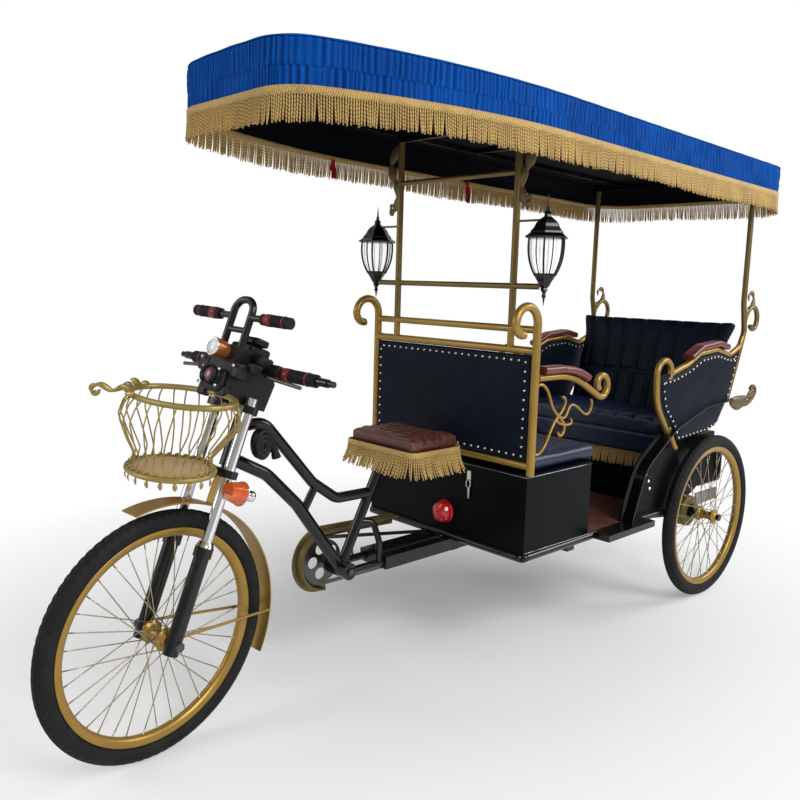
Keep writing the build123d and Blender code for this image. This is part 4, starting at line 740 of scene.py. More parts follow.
def spokeSurfaces():
    # each spoke runs from its flange hole to the rim, led on by the crossings, with a nipple at its end
    w, k = wheel, np.arange(wheel["spokes"])
    side = np.where(k % 2 == 0, 1.0, -1.0)
    lead = np.where((k // 2) % 2 == 0, 1.0, -1.0)
    rimTurn = 2 * np.pi * k / w["spokes"]
    hubTurn = rimTurn - lead * w["crossings"] * 4 * np.pi / w["spokes"]
    circle, inner, thick = w["flangeCircle"], w["rimInner"], w["nippleRadius"]
    flangeY = side * (w["flangeHalf"] + lead * w["flangeStep"])
    near = xyz(circle * np.cos(hubTurn), flangeY, circle * np.sin(hubTurn))
    far = xyz(inner * np.cos(rimTurn), side * (w["rimAside"] + lead), inner * np.sin(rimTurn))
    t = np.linspace(0, 1, 5)[None, :, None]
    wires = tubes(near[:, None] * (1 - t) + far[:, None] * t, w["spokeRadius"], 6, across=(0, 1.0, 0))
    down = np.array([0.2, 3.0, 3.2, w["nippleLength"]])[None, :, None]
    girth = (thick, thick, thick * 0.75, w["spokeRadius"] * 1.1)
    return wires, tubes(far[:, None] + unit(near - far)[:, None] * down, girth, 6, across=(0, 1.0, 0))


wheelForms = {"tyre": tyreSurface(), "rim": rimSurface(), "hub": hubSurface()}
spokeForms = spokeSurfaces()
for label, body, centre in wheelTable:
    for form, (points, faces) in wheelForms.items():
        slot = "tyre" if form == "tyre" else "gold_paint"
        made = newPiece(f"{label}_{form}_shape", [(points + centre, faces)], body, slot)
        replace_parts(made, f"{label}_{form}")
    wires = [(points + centre, faces) for points, faces in spokeForms]
    newPiece(f"{label}_spokes", wires, body, "steel", "spoke_wire")
print("wheels made")

# Cushions: boxes blown up by cloth pressure, then pressed in along their sewn channels
cushionTable = {
    # low and high corners, channels across an axis, and for the backrest the corners in its own leaning frame
    "driver_seat": {"low": (1262, -155, 722), "high": (1480, 155, 770), "slot": "brown_leather", "axis": 0,
                    "lines": np.arange(1300, 1460, 36.0), "depth": 4.5, "fill": 0.7},
    "front_bench_cushion": {"low": (775, -346, 660), "high": (1150, 346, 711), "slot": "navy_leather",
                            "finish": "blue_leather", "axis": 1, "lines": (-230.0, 0.0, 230.0), "depth": 5.0,
                            "fill": 0.6},
    "rear_cushion": {"low": (-5, -346, 660), "high": (330, 346, 748), "slot": "navy_leather",
                     "finish": "blue_leather", "axis": 1, "lines": np.arange(-280, 281, 80.0), "depth": 7.0,
                     "fill": 0.65},
    "rear_backrest": {"low": (-346, 0, -48), "high": (346, 470, 0), "slot": "navy_leather", "axis": 0,
                      "lines": np.arange(-280, 281, 80.0), "depth": 8.0, "fill": 0.6},
}
backRest = {"foot": (-5.3, 0.0, 673.93), "lean": 16.5, "wideFrom": 350.0, "wideTo": 465.0, "wider": 24.0,
            "half": 346.0, "seamUp": 215.0}
stuffing = {"voxel": 0.007, "pressure": 4.0, "frames": 20, "quality": 4, "drawIn": 5.0, "cap": 0.009,
            "rounds": 10, "channelWidth": 9.0, "channelEnd": 14.0, "faceRise": 12.0, "pipingDown": 15.0,
            "pipingWidth": 3.0, "pipingIn": 6.0, "pucker": 1.2, "puckerWidth": 26.0,
            "puckerLengths": (9.0, 40.0)}


def evaluated(piece):
    # a copy of a piece's mesh with its modifiers applied
    return bpy.data.meshes.new_from_object(piece.evaluated_get(bpy.context.evaluated_depsgraph_get()))


def meshPoints(mesh):
    flat = np.empty(len(mesh.vertices) * 3)
    mesh.vertices.foreach_get("co", flat)
    return flat.reshape(-1, 3)


def stuffed(low, high):
    # a box drawn in a little, remeshed, rounded, swollen by cloth pressure, each point's move held to a cap
    low, high = (np.asarray(low) + stuffing["drawIn"]) / 1000, (np.asarray(high) - stuffing["drawIn"]) / 1000
    shell = bmesh.new()
    for corner in bmesh.ops.create_cube(shell, size=1.0)["verts"]:
        corner.co = ((low + high) / 2 + np.array(corner.co) * (high - low)).tolist()
    box = bpy.data.meshes.new("pad")
    shell.to_mesh(box)
    shell.free()
    pad = bpy.data.objects.new("pad", box)
    bpy.context.scene.collection.objects.link(pad)
    remesh = pad.modifiers.new("remesh", "REMESH")
    remesh.mode, remesh.voxel_size = "VOXEL", stuffing["voxel"]
    rounding = pad.modifiers.new("rounding", "SMOOTH")
    rounding.factor, rounding.iterations = 0.5, stuffing["rounds"]
    body = evaluated(pad)
    pad.modifiers.clear()
    pad.data = body
    rest = meshPoints(body)
    soft = rest
    swell = pad.modifiers.new("cloth", "CLOTH").settings
    swell.use_pressure, swell.uniform_pressure_force = True, stuffing["pressure"]
    swell.effector_weights.gravity = 0.0
    swell.quality = stuffing["quality"]
    for step in range(1, stuffing["frames"] + 1):
        bpy.context.scene.frame_set(step)
    soft = meshPoints(evaluated(pad))
    bpy.context.scene.frame_set(1)
    move = soft - rest
    reach = np.linalg.norm(move, axis=1, keepdims=True)
    soft = rest + move * np.minimum(1, stuffing["cap"] / np.maximum(reach, 1e-9))
    faces = [list(face.vertices) for face in body.polygons]
    bpy.data.objects.remove(pad)
    return soft * 1000, faces


def grooves(values, lines, width):
    # one at a line, falling to nothing about two widths away, as a bell
    return bell(np.abs(values[:, None] - np.asarray(lines)[None]).min(1), width)


for label, cut in cushionTable.items():
    points, faces = stuffed(cut["low"], cut["high"])
    axis, middle = cut["axis"], (cut["low"][2] + cut["high"][2]) / 2
    face = rampUp(points[:, 2], middle, middle + stuffing["faceRise"])
    across, ahead = points[:, axis], points[:, 1 - axis]
    inset = np.minimum(ahead - cut["low"][1 - axis], cut["high"][1 - axis] - ahead)
    channel = grooves(across, cut["lines"], stuffing["channelWidth"])
    channel = channel * rampUp(inset, 0, stuffing["channelEnd"])
    if label == "rear_backrest":
        channel = np.maximum(channel, grooves(ahead, [backRest["seamUp"]], stuffing["channelWidth"]))
    piping = grooves(points[:, 2], [cut["high"][2] - stuffing["pipingDown"]], stuffing["pipingWidth"])
    piping = piping * (inset < stuffing["pipingIn"])
    short, long = stuffing["puckerLengths"]
    pucker = stuffing["pucker"] * np.sin(ahead / short + 2 * np.sin(across / long))
    pucker = pucker * grooves(across, cut["lines"], stuffing["puckerWidth"])
    points[:, 2] -= face * (cut["depth"] * channel + pucker * (1 - channel)) + piping
    if label == "rear_backrest":
        lean = np.radians(backRest["lean"])
        share = rampUp(points[:, 1], backRest["wideFrom"], backRest["wideTo"])
        points[:, 0] *= 1 + backRest["wider"] / backRest["half"] * share**2 * (3 - 2 * share)
        axes = [(0, -1.0, 0), (-np.sin(lean), 0, np.cos(lean)), (np.cos(lean), 0, np.sin(lean))]
        points = backRest["foot"] + points @ np.array(axes)
    cushion = newPiece(f"{label}_pad", [(points, faces)], "carriage", cut["slot"], cut.get("finish"))
    finer = cushion.modifiers.new("finer", "SUBSURF")
    finer.levels, finer.render_levels = 1, 1
    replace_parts(cushion, label)
print("cushions made")

# Leather panels: a padded board behind the driver and padded skins on the side boards, edged with dome studs
panel = {"x": 1171.0, "half": 342.5, "low": 701.5, "high": 1029.5, "edge": 7.0, "swell": 6.0,
         "grid": (81, 41), "studPitch": 29.0, "studRadius": 4.6, "studIn": 17.0, "studOut": 3.2}
apronCut = {"x": 328.5, "half": 338.0, "low": 607.0, "high": 686.0, "edge": 3.0, "swell": 5.0,
            "grid": (81, 15)}
pillowRipple = {"height": 0.5, "across": 23.0, "up": 3.0}
sideBoard = {"y": 363.0, "skin": 8.0, "swell": 7.0, "inset": 15.0, "lip": 2.0, "spacing": 12.0, "evening": 3,
             "studIn": 11.0, "studOut": 5.0, "middle": (130.0, 880.0), "ripple": 0.8,
             "rippleLengths": (31.0, 17.0),
             "rows": (0.0, 0.0, 0.02, 0.06, *np.linspace(0.14, 1, 10)),
             "outline": ((300, 655), (346, 722), (420, 790), (452, 880), (452, 925), (356, 930), (237, 958),
                         (143, 996), (5, 1007), (-100, 983), (-165, 1000), (-163, 905), (-119, 795),
                         (-36, 690), (60, 668), (158, 662))}


def pillow(cut):
    # a flat pad facing along X: its half thickness is the edge plus the swell times a root that falls to
    # nothing at the border, with a faint ripple; each column is a loop up the front and down the back
    cols, rows = cut["grid"]
    y = np.linspace(-1, 1, cols)[:, None]
    z = np.concatenate([np.linspace(-1, 1, rows), np.linspace(1, -1, rows)])
    way = np.repeat([1.0, -1.0], rows)
    thick = cut["edge"] + cut["swell"] * np.sqrt((1 - y**6) * (1 - z**6))
    ripple = np.sin(y * pillowRipple["across"] + pillowRipple["up"] * z)
    thick = thick + pillowRipple["height"] * ripple * (1 - y**4) * (1 - z**4)
    height = (cut["low"] + cut["high"]) / 2 + z * (cut["high"] - cut["low"]) / 2
    points = xyz(cut["x"] + way * thick, y * cut["half"], height)
    return points, gridFaces(cols, 2 * rows, False, True).tolist() + endCaps(cols, 2 * rows)


board = newPiece("front_panel_pad", [pillow(panel)], "carriage", "navy_leather", flip=True)
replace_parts(board, "front_panel")
apron = newPiece("rear_seat_apron", [pillow(apronCut)], "carriage", "navy_leather", "blue_leather", flip=True)
inset = panel["studIn"]
wide, low, high = panel["half"] - inset, panel["low"] + inset, panel["high"] - inset
border = evenly(np.array([(wide, low), (wide, high), (-wide, high), (-wide, low)]), panel["studPitch"])[0]
studSets = []
for way in bothSides:
    centres = xyz(panel["x"] + way * (panel["edge"] + panel["studOut"]), border[:, 0], border[:, 1])
    studSets.append(studsOn(centres, (way, 0, 0), panel["studRadius"]))

# each skin goes from its edge to the board's middle, swelling by a root of the share of the way
outline = evenly(np.array(sideBoard["outline"], float), sideBoard["spacing"])[0]
for _ in range(sideBoard["evening"]):
    outline = (np.roll(outline, 1, 0) + 2 * outline + np.roll(outline, -1, 0)) / 4
inward = leftOf(outline)
inward = inward * np.sign((inward * (np.array(sideBoard["middle"]) - outline)).sum())
skinEdge = outline + inward * sideBoard["inset"]
studLine = evenly(outline + inward * (sideBoard["inset"] + sideBoard["studIn"]), panel["studPitch"])[0]
t = np.array(sideBoard["rows"])[:, None, None]
flatSkin = skinEdge[None] * (1 - t) + np.array(sideBoard["middle"]) * t
skinX, skinZ = flatSkin[..., 0], flatSkin[..., 1]
lipRise = sideBoard["skin"] - sideBoard["lip"]
rise = (sideBoard["skin"] + sideBoard["swell"] * np.sqrt(1 - (1 - t) ** 4))[..., 0]
rise[0] = lipRise
longX, longZ = sideBoard["rippleLengths"]
rise = rise + sideBoard["ripple"] * np.sin(skinX / longX + skinZ / longZ) * t[..., 0]
quads = gridFaces(len(t), len(skinEdge), False, True)
skins = []
for side in bothSides:
    for face in bothSides:
        skin = xyz(skinX, side * (sideBoard["y"] + face * rise), skinZ)
        skins.append((skin, quads if side * face > 0 else quads[:, ::-1]))
        studY = side * (sideBoard["y"] + face * (sideBoard["skin"] + sideBoard["studOut"]))
        centres = xyz(studLine[:, 0], studY, studLine[:, 1])
        studSets.append(studsOn(centres, (0, side * face, 0), panel["studRadius"]))
    borderY = side * (sideBoard["y"] + np.array(bothSides)[:, None] * lipRise)
    border = xyz(skinEdge[:, 0], borderY, skinEdge[:, 1])
    skins.append((border, gridFaces(2, len(skinEdge), False, True)))
skinPiece = newPiece("side_board_pads", skins, "carriage", "navy_leather")
newPiece("leather_studs", studSets, "carriage", "chrome", "stud_dome")
print("panels made")

# Basket: an urn of bowed wires between rings, with a curled ornament ahead and small leaves below the base
basket = {"lowZ": 766.0, "topZ": 944.0, "lowAhead": 186.0, "topAhead": 222.0, "wires": 26, "wireRadius": 2.0,
          "wander": 0.04, "topTube": 7.5, "baseTube": 7.0, "rows": 26, "leaves": 20, "leafHalf": 6.0,
          "leafBow": 3.0, "leafDrop": (5.0, 21.0), "wanderRate": 9.0,
          "profile": ((0.0, 97, 124), (0.1, 88, 114), (0.2, 84, 112), (0.42, 104, 148), (0.68, 120, 190),
                      (0.88, 112, 184), (1.0, 100, 165))}
rope = {"height": 0.035, "reach": 4.2, "radius": 2.6, "turns": 30, "steps": 240}
ornament = {"turn": -0.95, "way": (0.73, -0.68, 0.0), "length": 86.0, "wave": 7.0, "rise": 8.0, "hook": 10.0,
            "hookTurn": 4.6, "least": 4.2, "lobe": 4.0, "flat": 0.55, "waveRate": 9.0, "waveFade": 0.3,
            "lobeTurn": 13.0}
crest = {"turns": np.arange(-100.0, -19.0, 16.0), "length": 32.0, "wide": 1.6, "droop": (10.0, 0, -9.0),
         "lean": (0.55, -0.1, 0.8), "leanWave": 0.25, "leanRate": 9.0}
fineShare = np.linspace(-0.1, 1.1, 241)
window = bell(np.linspace(-1, 1, 21), 0.5)
profile = np.array(basket["profile"]).T
fineSize = [np.interp(fineShare, profile[0], line) for line in profile[1:]]
fineSize = [np.convolve(line, window / window.sum(), "same") for line in fineSize]
evened = slice(15, -15)  # the ends, where the bell runs out of the line, aren't read


def urn(t, a):
    # the ring at a height share t and turn a: half length and half width from the profile, evened by a bell
    t, a = np.broadcast_arrays(np.asarray(t, float), a)
    size = [np.interp(t, fineShare[evened], line[evened]) for line in fineSize]
    z = basket["lowZ"] + (basket["topZ"] - basket["lowZ"]) * t
    ahead = basket["lowAhead"] + (basket["topAhead"] - basket["lowAhead"]) * t
    middle = headFoot[0] - (z - headFoot[2]) * np.tan(rakeAngle) + ahead
    return xyz(middle + size[0] * np.cos(a), size[1] * np.sin(a), z)


wireTurns = (np.arange(basket["wires"]) + 0.5) / basket["wires"] * 2 * np.pi
t, a = np.meshgrid(np.linspace(0.01, 0.985, basket["rows"]), wireTurns)
bowedWires = urn(t, a + basket["wander"] * np.sin(basket["wanderRate"] * a) * np.sin(np.pi * t))
parts = [tubes(bowedWires, basket["wireRadius"], 6, across=(0.3, 0.2, 0.9))]
a = np.linspace(0, 2 * np.pi, 72, endpoint=False)
for height, radius in ((1.0, basket["topTube"]), (0.0, basket["baseTube"])):
    parts.append(tubes(urn(height, a), radius, 10, closed=True))
a = np.linspace(0, 2 * np.pi, rope["steps"], endpoint=False)
twist = rope["turns"] * a
coil = rope["reach"] * xyz(np.cos(a) * np.cos(twist), np.sin(a) * np.cos(twist), np.sin(twist))
parts.append(tubes(urn(rope["height"], a) + coil, rope["radius"], 6, closed=True))
a = np.arange(basket["leaves"]) / basket["leaves"] * 2 * np.pi
u = np.linspace(0, 1, 7)
leafWide = basket["leafHalf"] * np.sin(np.pi * np.clip(u, 0.02, 0.98)) ** 0.7
out = xyz(np.cos(a), np.sin(a), 0.0)[:, None]
drop = (basket["leafDrop"][0] + basket["leafDrop"][1] * u)[:, None]
hung = urn(0.0, a)[:, None] + out * (basket["leafBow"] * np.sin(np.pi * u))[:, None] - upright * drop
parts.append(tubes(hung, leafWide, 8, across=out, flat=0.3))
# the ornament waves outwards from the top ring and ends in a hook, swelling into lobes on its way
curl = np.linspace(0, 1, 60)[:, None]
wayOut = np.array(ornament["way"])
climb = ornament["wave"] * np.sin(curl * ornament["waveRate"]) * (1 - ornament["waveFade"] * curl)
climb = climb + ornament["rise"] * curl
stem = urn(1.0, ornament["turn"]) + wayOut * ornament["length"] * curl + upright * climb
hookTurn = ornament["hookTurn"] * curl
hook = stem[-1] + ornament["hook"] * (wayOut * np.sin(hookTurn) + upright * (np.cos(hookTurn) - 1))
stem = np.vstack([stem, hook[1:]])
lobeWave = np.abs(np.sin(np.linspace(0, ornament["lobeTurn"], len(stem))))
girth = ornament["least"] + ornament["lobe"] * lobeWave
parts.append(tubes(stem, girth, 10, across=(0, 1.0, 0), flat=ornament["flat"]))
a = np.radians(crest["turns"])
leanX, leanY, leanZ = crest["lean"]
leanZ = leanZ + crest["leanWave"] * np.cos(crest["leanRate"] * a)
lean = xyz(leanX, leanY, leanZ)[:, None] * crest["length"]
blades = urn(1.0, a)[:, None] + lean * u[:, None] + np.array(crest["droop"]) * (u**2)[:, None]
parts.append(tubes(blades, crest["wide"] * leafWide, 8, across=(0.2, 0.9, 0.3), flat=0.35))
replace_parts(newPiece("basket_urn", parts, "steering", "gold_paint", "basket_gold"), "basket")
print("basket made")

# Lanterns: bell roof, bowed panes between bowed ribs, a cup with a pendant and a finial, all six-sided
lantern = {"x": 1171.0, "half": 372.0, "lift": 8.0, "ribRadius": 3.4, "midRib": 1.9, "ribOut": 1.0,
           "paneIn": 1.5, "body": ((30, 1262), (42, 1280), (50, 1302), (54, 1328), (55, 1352), (54, 1370)),
           "roof": ((53, 1366), (67, 1369), (68, 1373), (60, 1378), (52, 1384), (51, 1389), (45, 1395),
                    (40, 1402), (36, 1411), (27, 1421), (17, 1428), (12, 1431), (10, 1437), (13, 1441),
                    (8, 1446), (5, 1450), (6, 1455), (3.5, 1459), (2, 1478), (0.6, 1494)),
           "cup": ((0.6, 1172), (2.4, 1184), (4, 1195), (8, 1201), (5, 1206), (7, 1213), (12, 1219),
                   (10, 1224), (17, 1232), (23, 1244), (30, 1254), (34, 1262), (34, 1267))}


def bowed(t, table):
    # a smooth curve through a short table of (radius, height): a cubic for the radius, a line for the height
    girth, height = np.array(table, float).T
    share = np.linspace(0, 1, len(table))
    return np.polyval(np.polyfit(share, girth, 3), t), np.polyval(np.polyfit(share, height, 1), t)


girth, height = bowed(np.linspace(0, 1, 14), lantern["body"])
turn = np.arange(12) * np.pi / 6
reach = np.where(np.arange(12) % 2 == 0, 1.0, np.cos(np.pi / 6))
way = xyz(-np.sin(turn), -np.cos(turn), 0.0) * reach[:, None]
cages, panes = [], []
for side in bothSides:
    foot = np.array([lantern["x"], side * lantern["half"], lantern["lift"]])
    ribs = foot + way[:, None] * (girth + lantern["ribOut"])[:, None] + upright * height[:, None]
    cages += [tubes(ribs[0::2], lantern["ribRadius"], 6, across=(0.1, 0.2, 0.05)),
              tubes(ribs[1::2], lantern["midRib"], 6, across=(0.1, 0.2, 0.05)),
              lathe(lantern["roof"], foot, upright, 6, capped=True),
              lathe(lantern["cup"], foot, upright, 6, capped=True)]
    panes.append(lathe(np.stack([girth - lantern["paneIn"], height], 1), foot, upright, 6, capped=True))
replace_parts(newPiece("lantern_cages", cages, "carriage", "black_paint", smooth=False), "lanterns")
panePiece = newPiece("lantern_panes", panes, "carriage", "white_glass", "lantern_pane", smooth=False)
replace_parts(panePiece, "lantern_glass")
print("lanterns made")

# Cast leaves: beside the tops of the front posts, on the tails of the mudguards and at the rear scrolls
leafTable = (
    # path points as (X, Y, Z), least and most radius, number of lobes, flatness, thin direction
    (((1171, 268, 1700), (1171, 302, 1652), (1171, 296, 1600), (1171, 271, 1556), (1171, 276, 1505),
      (1171, 296, 1478), (1171, 304, 1497), (1171, 293, 1506)), 8.0, 24.0, 6, 0.3, (1.0, 0, 0)),
    (((-110, 384, 790), (-180, 384, 779), (-240, 384, 786), (-290, 384, 806), (-325, 384, 815),
      (-335, 384, 798)), 11.0, 34.0, 2, 0.35, (0, 1.0, 0)),
    (((-214, 363, 1150), (-258, 363, 1158), (-296, 363, 1192), (-282, 363, 1230), (-248, 363, 1222),
      (-252, 363, 1196)), 7.0, 17.0, 4, 0.5, (0, 1.0, 0)),
)
share = np.linspace(0, 1, 60)
leaves = []
for points, least, most, lobes, flatness, thin in leafTable:
    girth = least + (most - least) * np.abs(np.sin(np.pi * lobes * share)) ** 0.7
    girth = girth * np.sqrt(np.clip(1.03 - share, 0, 1))
    for side in bothSides:
        leaves.append(tubes(smoothPath(points, 60) * [1, side, 1], girth, 10, across=thin, flat=flatness))
newPiece("cast_leaves", leaves, "carriage", "bronze_paint", "cast_gold")
print("leaves made")

# Handlebar fittings, in the steering frame: rounded boxes, bolts, grip bands, and turned lamps and collars
boxTable = (
    # forward, side, up; half sizes
    ((62.0, 34.0, 790.0), (24, 28, 10)), ((48.0, 4.0, 768.0), (38, 46, 13)),
    ((20.0, 98.0, 727.0), (17, 19, 19)), ((20.0, -98.0, 727.0), (17, 19, 19)),
    ((112.0, -66.0, 706.0), (17, 22, 24)), ((112.0, 62.0, 698.0), (18, 18, 21)),
    ((128.0, 0.0, 664.0), (12, 40, 30)), ((52.0, 66.0, 742.0), (24, 22, 14)),
    ((96.0, -34.0, 748.0), (20, 15, 17)), ((84.0, 84.0, 716.0), (20, 12, 12)),
    ((120.0, 36.0, 640.0), (12, 20, 14)), ((118.0, -40.0, 636.0), (12, 16, 18)),
)
boltTable = ((150.0, 30.0, 690.0), (150.0, -30.0, 690.0), (150.0, 34.0, 648.0), (150.0, -34.0, 648.0),
             (136.0, 62.0, 708.0), (136.0, -66.0, 716.0))
bandTable = (
    # forward, up, from side, to side, radius
    (108.0, 842.0, 96.0, 122.0, 15.9), (108.0, 842.0, 163.0, 168.0, 15.9), (20.0, 727.0, 124.0, 152.0, 18.0),
    (20.0, 727.0, 212.0, 218.0, 18.0),
)
ridgeTable = ((108.0, 842.0, 126.0, 160.0, 15.0), (20.0, 727.0, 156.0, 208.0, 17.0))
grip = {"boltRadius": 5.0, "bandLip": 2.0, "bandRound": 0.8, "bandCrown": 0.5, "ridge": 0.9, "ridgeIn": 0.2,
        "ridgePitch": 5.2}
lampAt, headAt, forkAt = (166.0, 0.0, 742.0), (150.0, 0.0, 672.0), (vehicle["forkForward"], 65.0, 250.0)
signalAt = (vehicle["forkForward"], 122.0, 405.0)
turnedTable = {
    # place, axis, steps, slot, finish, profile of (radius, height)
    "headlamp_hood": (headAt, headForward, 32, "dark_plastic", None,
                      ((20, -6), (26, -4), (28, 4), (26, 10), (22, 9), (20, 2))),
    "lamp_rims": (lampAt, headForward, 32, "chrome", None,
                  ((20, -3), (23.5, -2), (24, 2), (22, 4), (19, 3), (18, 0.5), (0.1, -1))),
    "lamp_lens": (lampAt, headForward, 24, "white_glass", None,
                  ((18.5, 0.6), (17, 3.2), (11, 5.5), (0.1, 6.4))),
    "headlamp_lens": (headAt, headForward, 24, "red_lens", "rose_lens",
                      ((19, 1.4), (16, 5.0), (9, 7.5), (0.1, 8.2))),
    "fork_collars": (forkAt, headUp, 28, "chrome", None,
                     ((19.0, -9), (23.5, -8), (23.5, -2), (22.0, -1), (22.0, 6), (19.0, 8), (18.5, 13),
                      (15.2, 14))),
    "signal_tails": (signalAt, -headForward, 24, "chrome", None,
                     ((31.6, 7), (32.2, 9), (27, 13), (15, 15), (13, 18), (12, 36), (14, 38), (14, 50),
                      (12, 52), (0.1, 52))),
}
boxes = [softBox(middle, halves) for middle, halves in boxTable]
boxes = [(onFork(*points.T), faces) for points, faces in boxes]
newPiece("bar_fittings", boxes, "steering", "dark_plastic")
boltHeads = studsOn(onFork(*np.array(boltTable).T), headForward, grip["boltRadius"])
newPiece("bar_bolts", [boltHeads], "steering", "chrome")
bands, ridges = [], []
for side in bothSides:
    for forward, up, start, end, radius in bandTable:
        low, inner = radius - grip["bandLip"], grip["bandRound"]
        profile = [(low, start), (radius, start + inner), (radius + grip["bandCrown"], (start + end) / 2),
                   (radius, end - inner), (low, end)]
        bands.append(lathe(profile, onFork(forward, 0.0, up), (0, side, 0), 28))
    for forward, up, start, end, radius in ridgeTable:
        s = np.linspace(start, end, 60)
        wave = np.abs(np.sin((s - start) * np.pi / grip["ridgePitch"]))
        girth = radius + grip["ridge"] * wave - grip["ridgeIn"]
        ridges.append(lathe(np.stack([girth, s], 1), onFork(forward, 0.0, up), (0, side, 0), 28))
newPiece("grip_bands", bands, "steering", "red_lens", "grip_red")
newPiece("grip_ridges", ridges, "steering", "black_rubber")
for name, ((forward, aside, up), axis, steps, slot, finish, profile) in turnedTable.items():
    middles = [onFork(forward, side * aside, up) for side in (bothSides if aside else (0.0,))]
    newPiece(name, [lathe(profile, middle, axis, steps) for middle in middles], "steering", slot, finish)
print("bar fittings made")

# Body trim: pale strips on the battery box, a faceted marker, black edging round the floor, the horn's coil
# and the chain's cover
boxTrim = {"front": 1184.0, "rear": 835.0, "half": 356.0, "top": 655.0, "foot": 414.0, "floorRear": 560.0,
           "floorFall": 8.0, "radius": 1.7, "frontRadius": 1.5, "out": 1.2}
marker = {"profile": ((39, 0), (39, 6), (37, 9), (36, 20), (31, 30), (20, 36), (8, 38), (0.1, 38.5)),
          "facets": 18}
edging = {"radius": 12.5, "out": 1.5, "down": 2.0, "steps": 40}
horn = {"x": 1940.0, "z": 800.0, "face": 56.0, "back": 26.0, "outer": 38.0, "inner": 7.0, "tube": 7.5,
        "turns": 2.4, "narrow": 0.66, "mouth": (-18.0, 3.0, -62.0), "flare": 6.0}
chainCover = {"x": 1624.0, "z": 370.0, "y": -103.0, "reach": 88.0, "half": 19.0, "run": 310.0, "fall": 0.04,
              "turn": (-105, 90), "flat": 0.09}
cut, strips = boxTrim, []
for side in bothSides:
    for end, high, low in ((cut["rear"], cut["top"], cut["top"]),
                           (cut["floorRear"], cut["foot"], cut["foot"] - cut["floorFall"])):
        stripX, stripZ = np.linspace(cut["front"], end, 8), np.linspace(high, low, 8)
        line = xyz(stripX, side * (cut["half"] + cut["out"]), stripZ)
        strips.append(tubes(line, cut["radius"], 8, across=(0.1, 0.3, 0.2)))
line = xyz(cut["front"] + cut["out"], np.linspace(-1, 1, 8) * cut["half"], cut["top"])
strips.append(tubes(line, cut["frontRadius"], 8, across=(1, 0, 0)))
newPiece("box_trim", strips, "carriage", "chrome", "trim_strip")

low, high = nodeBox("marker_lamp")
markerFoot = (low[0], *(low + high)[1:] / 2)
dome = lathe(marker["profile"], markerFoot, (1, 0, 0), marker["facets"])
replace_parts(newPiece("marker_dome", [dome], "carriage", "red_lens", smooth=False), "marker_lamp")

low, high = nodeBox("floor_board")
edgeZ, out = (low[2] + high[2]) / 2 - edging["down"], edging["out"]
length, width = [np.linspace(low[k], high[k], edging["steps"]) for k in (0, 1)]
lines = [xyz(length, side * (high[1] + out), edgeZ) for side in bothSides]
lines.append(xyz(high[0] + out, width, edgeZ))
newPiece("floor_edging", [tubes(line, edging["radius"], 12) for line in lines], "carriage", "black_paint")

# the coil widens evenly with its turn, then runs down into a flared mouth, on a drum squeezed along X
a = np.linspace(0, horn["turns"] * 2 * np.pi, 120)
reach = horn["inner"] + (horn["outer"] - horn["inner"]) * a / a[-1]
coil = xyz(horn["x"] + horn["narrow"] * reach * np.cos(a), horn["face"] - 1.0, horn["z"] + reach * np.sin(a))
share = np.linspace(0, 1, 8)[1:]
hornPath = np.vstack([coil, coil[-1] + share[:, None] * np.array(horn["mouth"])])
hornGirth = horn["tube"] + np.concatenate([0 * a, horn["flare"] * share**2])
back, face = horn["back"], horn["face"]
drum, drumFaces = lathe([(0.1, back), (34, back), (42, back + 5), (43, face - 5), (36, face), (0.1, face)],
                        (0, 0, 0), (0, 1, 0), 40)
drum = drum * [horn["narrow"], 1, 1] + [horn["x"], 0, horn["z"]]
coilForm = [tubes(hornPath, hornGirth, 10, across=(0, 1.0, 0)), (drum, drumFaces)]
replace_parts(newPiece("horn_coil", coilForm, "carriage", "dark_plastic"), "horn")

cut = chainCover
a = np.radians(np.linspace(*cut["turn"], 60))
run = np.linspace(0, cut["run"], 30)[1:, None]
bow = xyz(cut["x"] + cut["reach"] * np.cos(a), cut["y"], cut["z"] + cut["reach"] * np.sin(a))
coverPath = np.vstack([bow, bow[-1] - run * np.array([1.0, 0, cut["fall"]])])
cover = tubes(coverPath, cut["half"], 14, across=(0, 1.0, 0), flat=cut["flat"])
newPiece("chain_cover", [cover], "carriage", "olive_gold")

# Wheel arches: flat plates from the mudguard strips in towards the tyres, bolted, and edge tubes down the
# side boards
arch = {"outer": ((612, 408), (585, 500), (530, 600), (440, 672), (330, 722)), "reach": 225.0, "y": 344.0,
        "thick": 5.0, "bolts": ((432, 530), (420, 500), (455, 560)), "boltRadius": 7.0, "grid": (6, 40),
        "edge": ((350, 728), (322, 690), (296, 655), (280, 640)), "edgeRadius": 10.0}
rows, cols = arch["grid"]
outerEdge = smoothPath(arch["outer"], cols)
axle = np.array([0, vehicle["axleZ"]])
innerEdge = axle + unit(outerEdge - axle) * arch["reach"]
share = np.linspace(0, 1, rows)[:, None, None]
flatPlate = outerEdge * (1 - share) + innerEdge * share
quads, count = gridFaces(rows, cols), rows * cols
rim = np.concatenate([np.arange(cols), np.arange(1, rows) * cols + cols - 1, count - 2 - np.arange(cols - 1),
                      (rows - 2 - np.arange(rows - 2)) * cols])
nextRim = np.roll(rim, -1)
walls = np.stack([rim, nextRim, nextRim + count, rim + count], 1)
plateFaces = np.concatenate([quads, quads[:, ::-1] + count, walls])
plates, bolts, edges = [], [], []
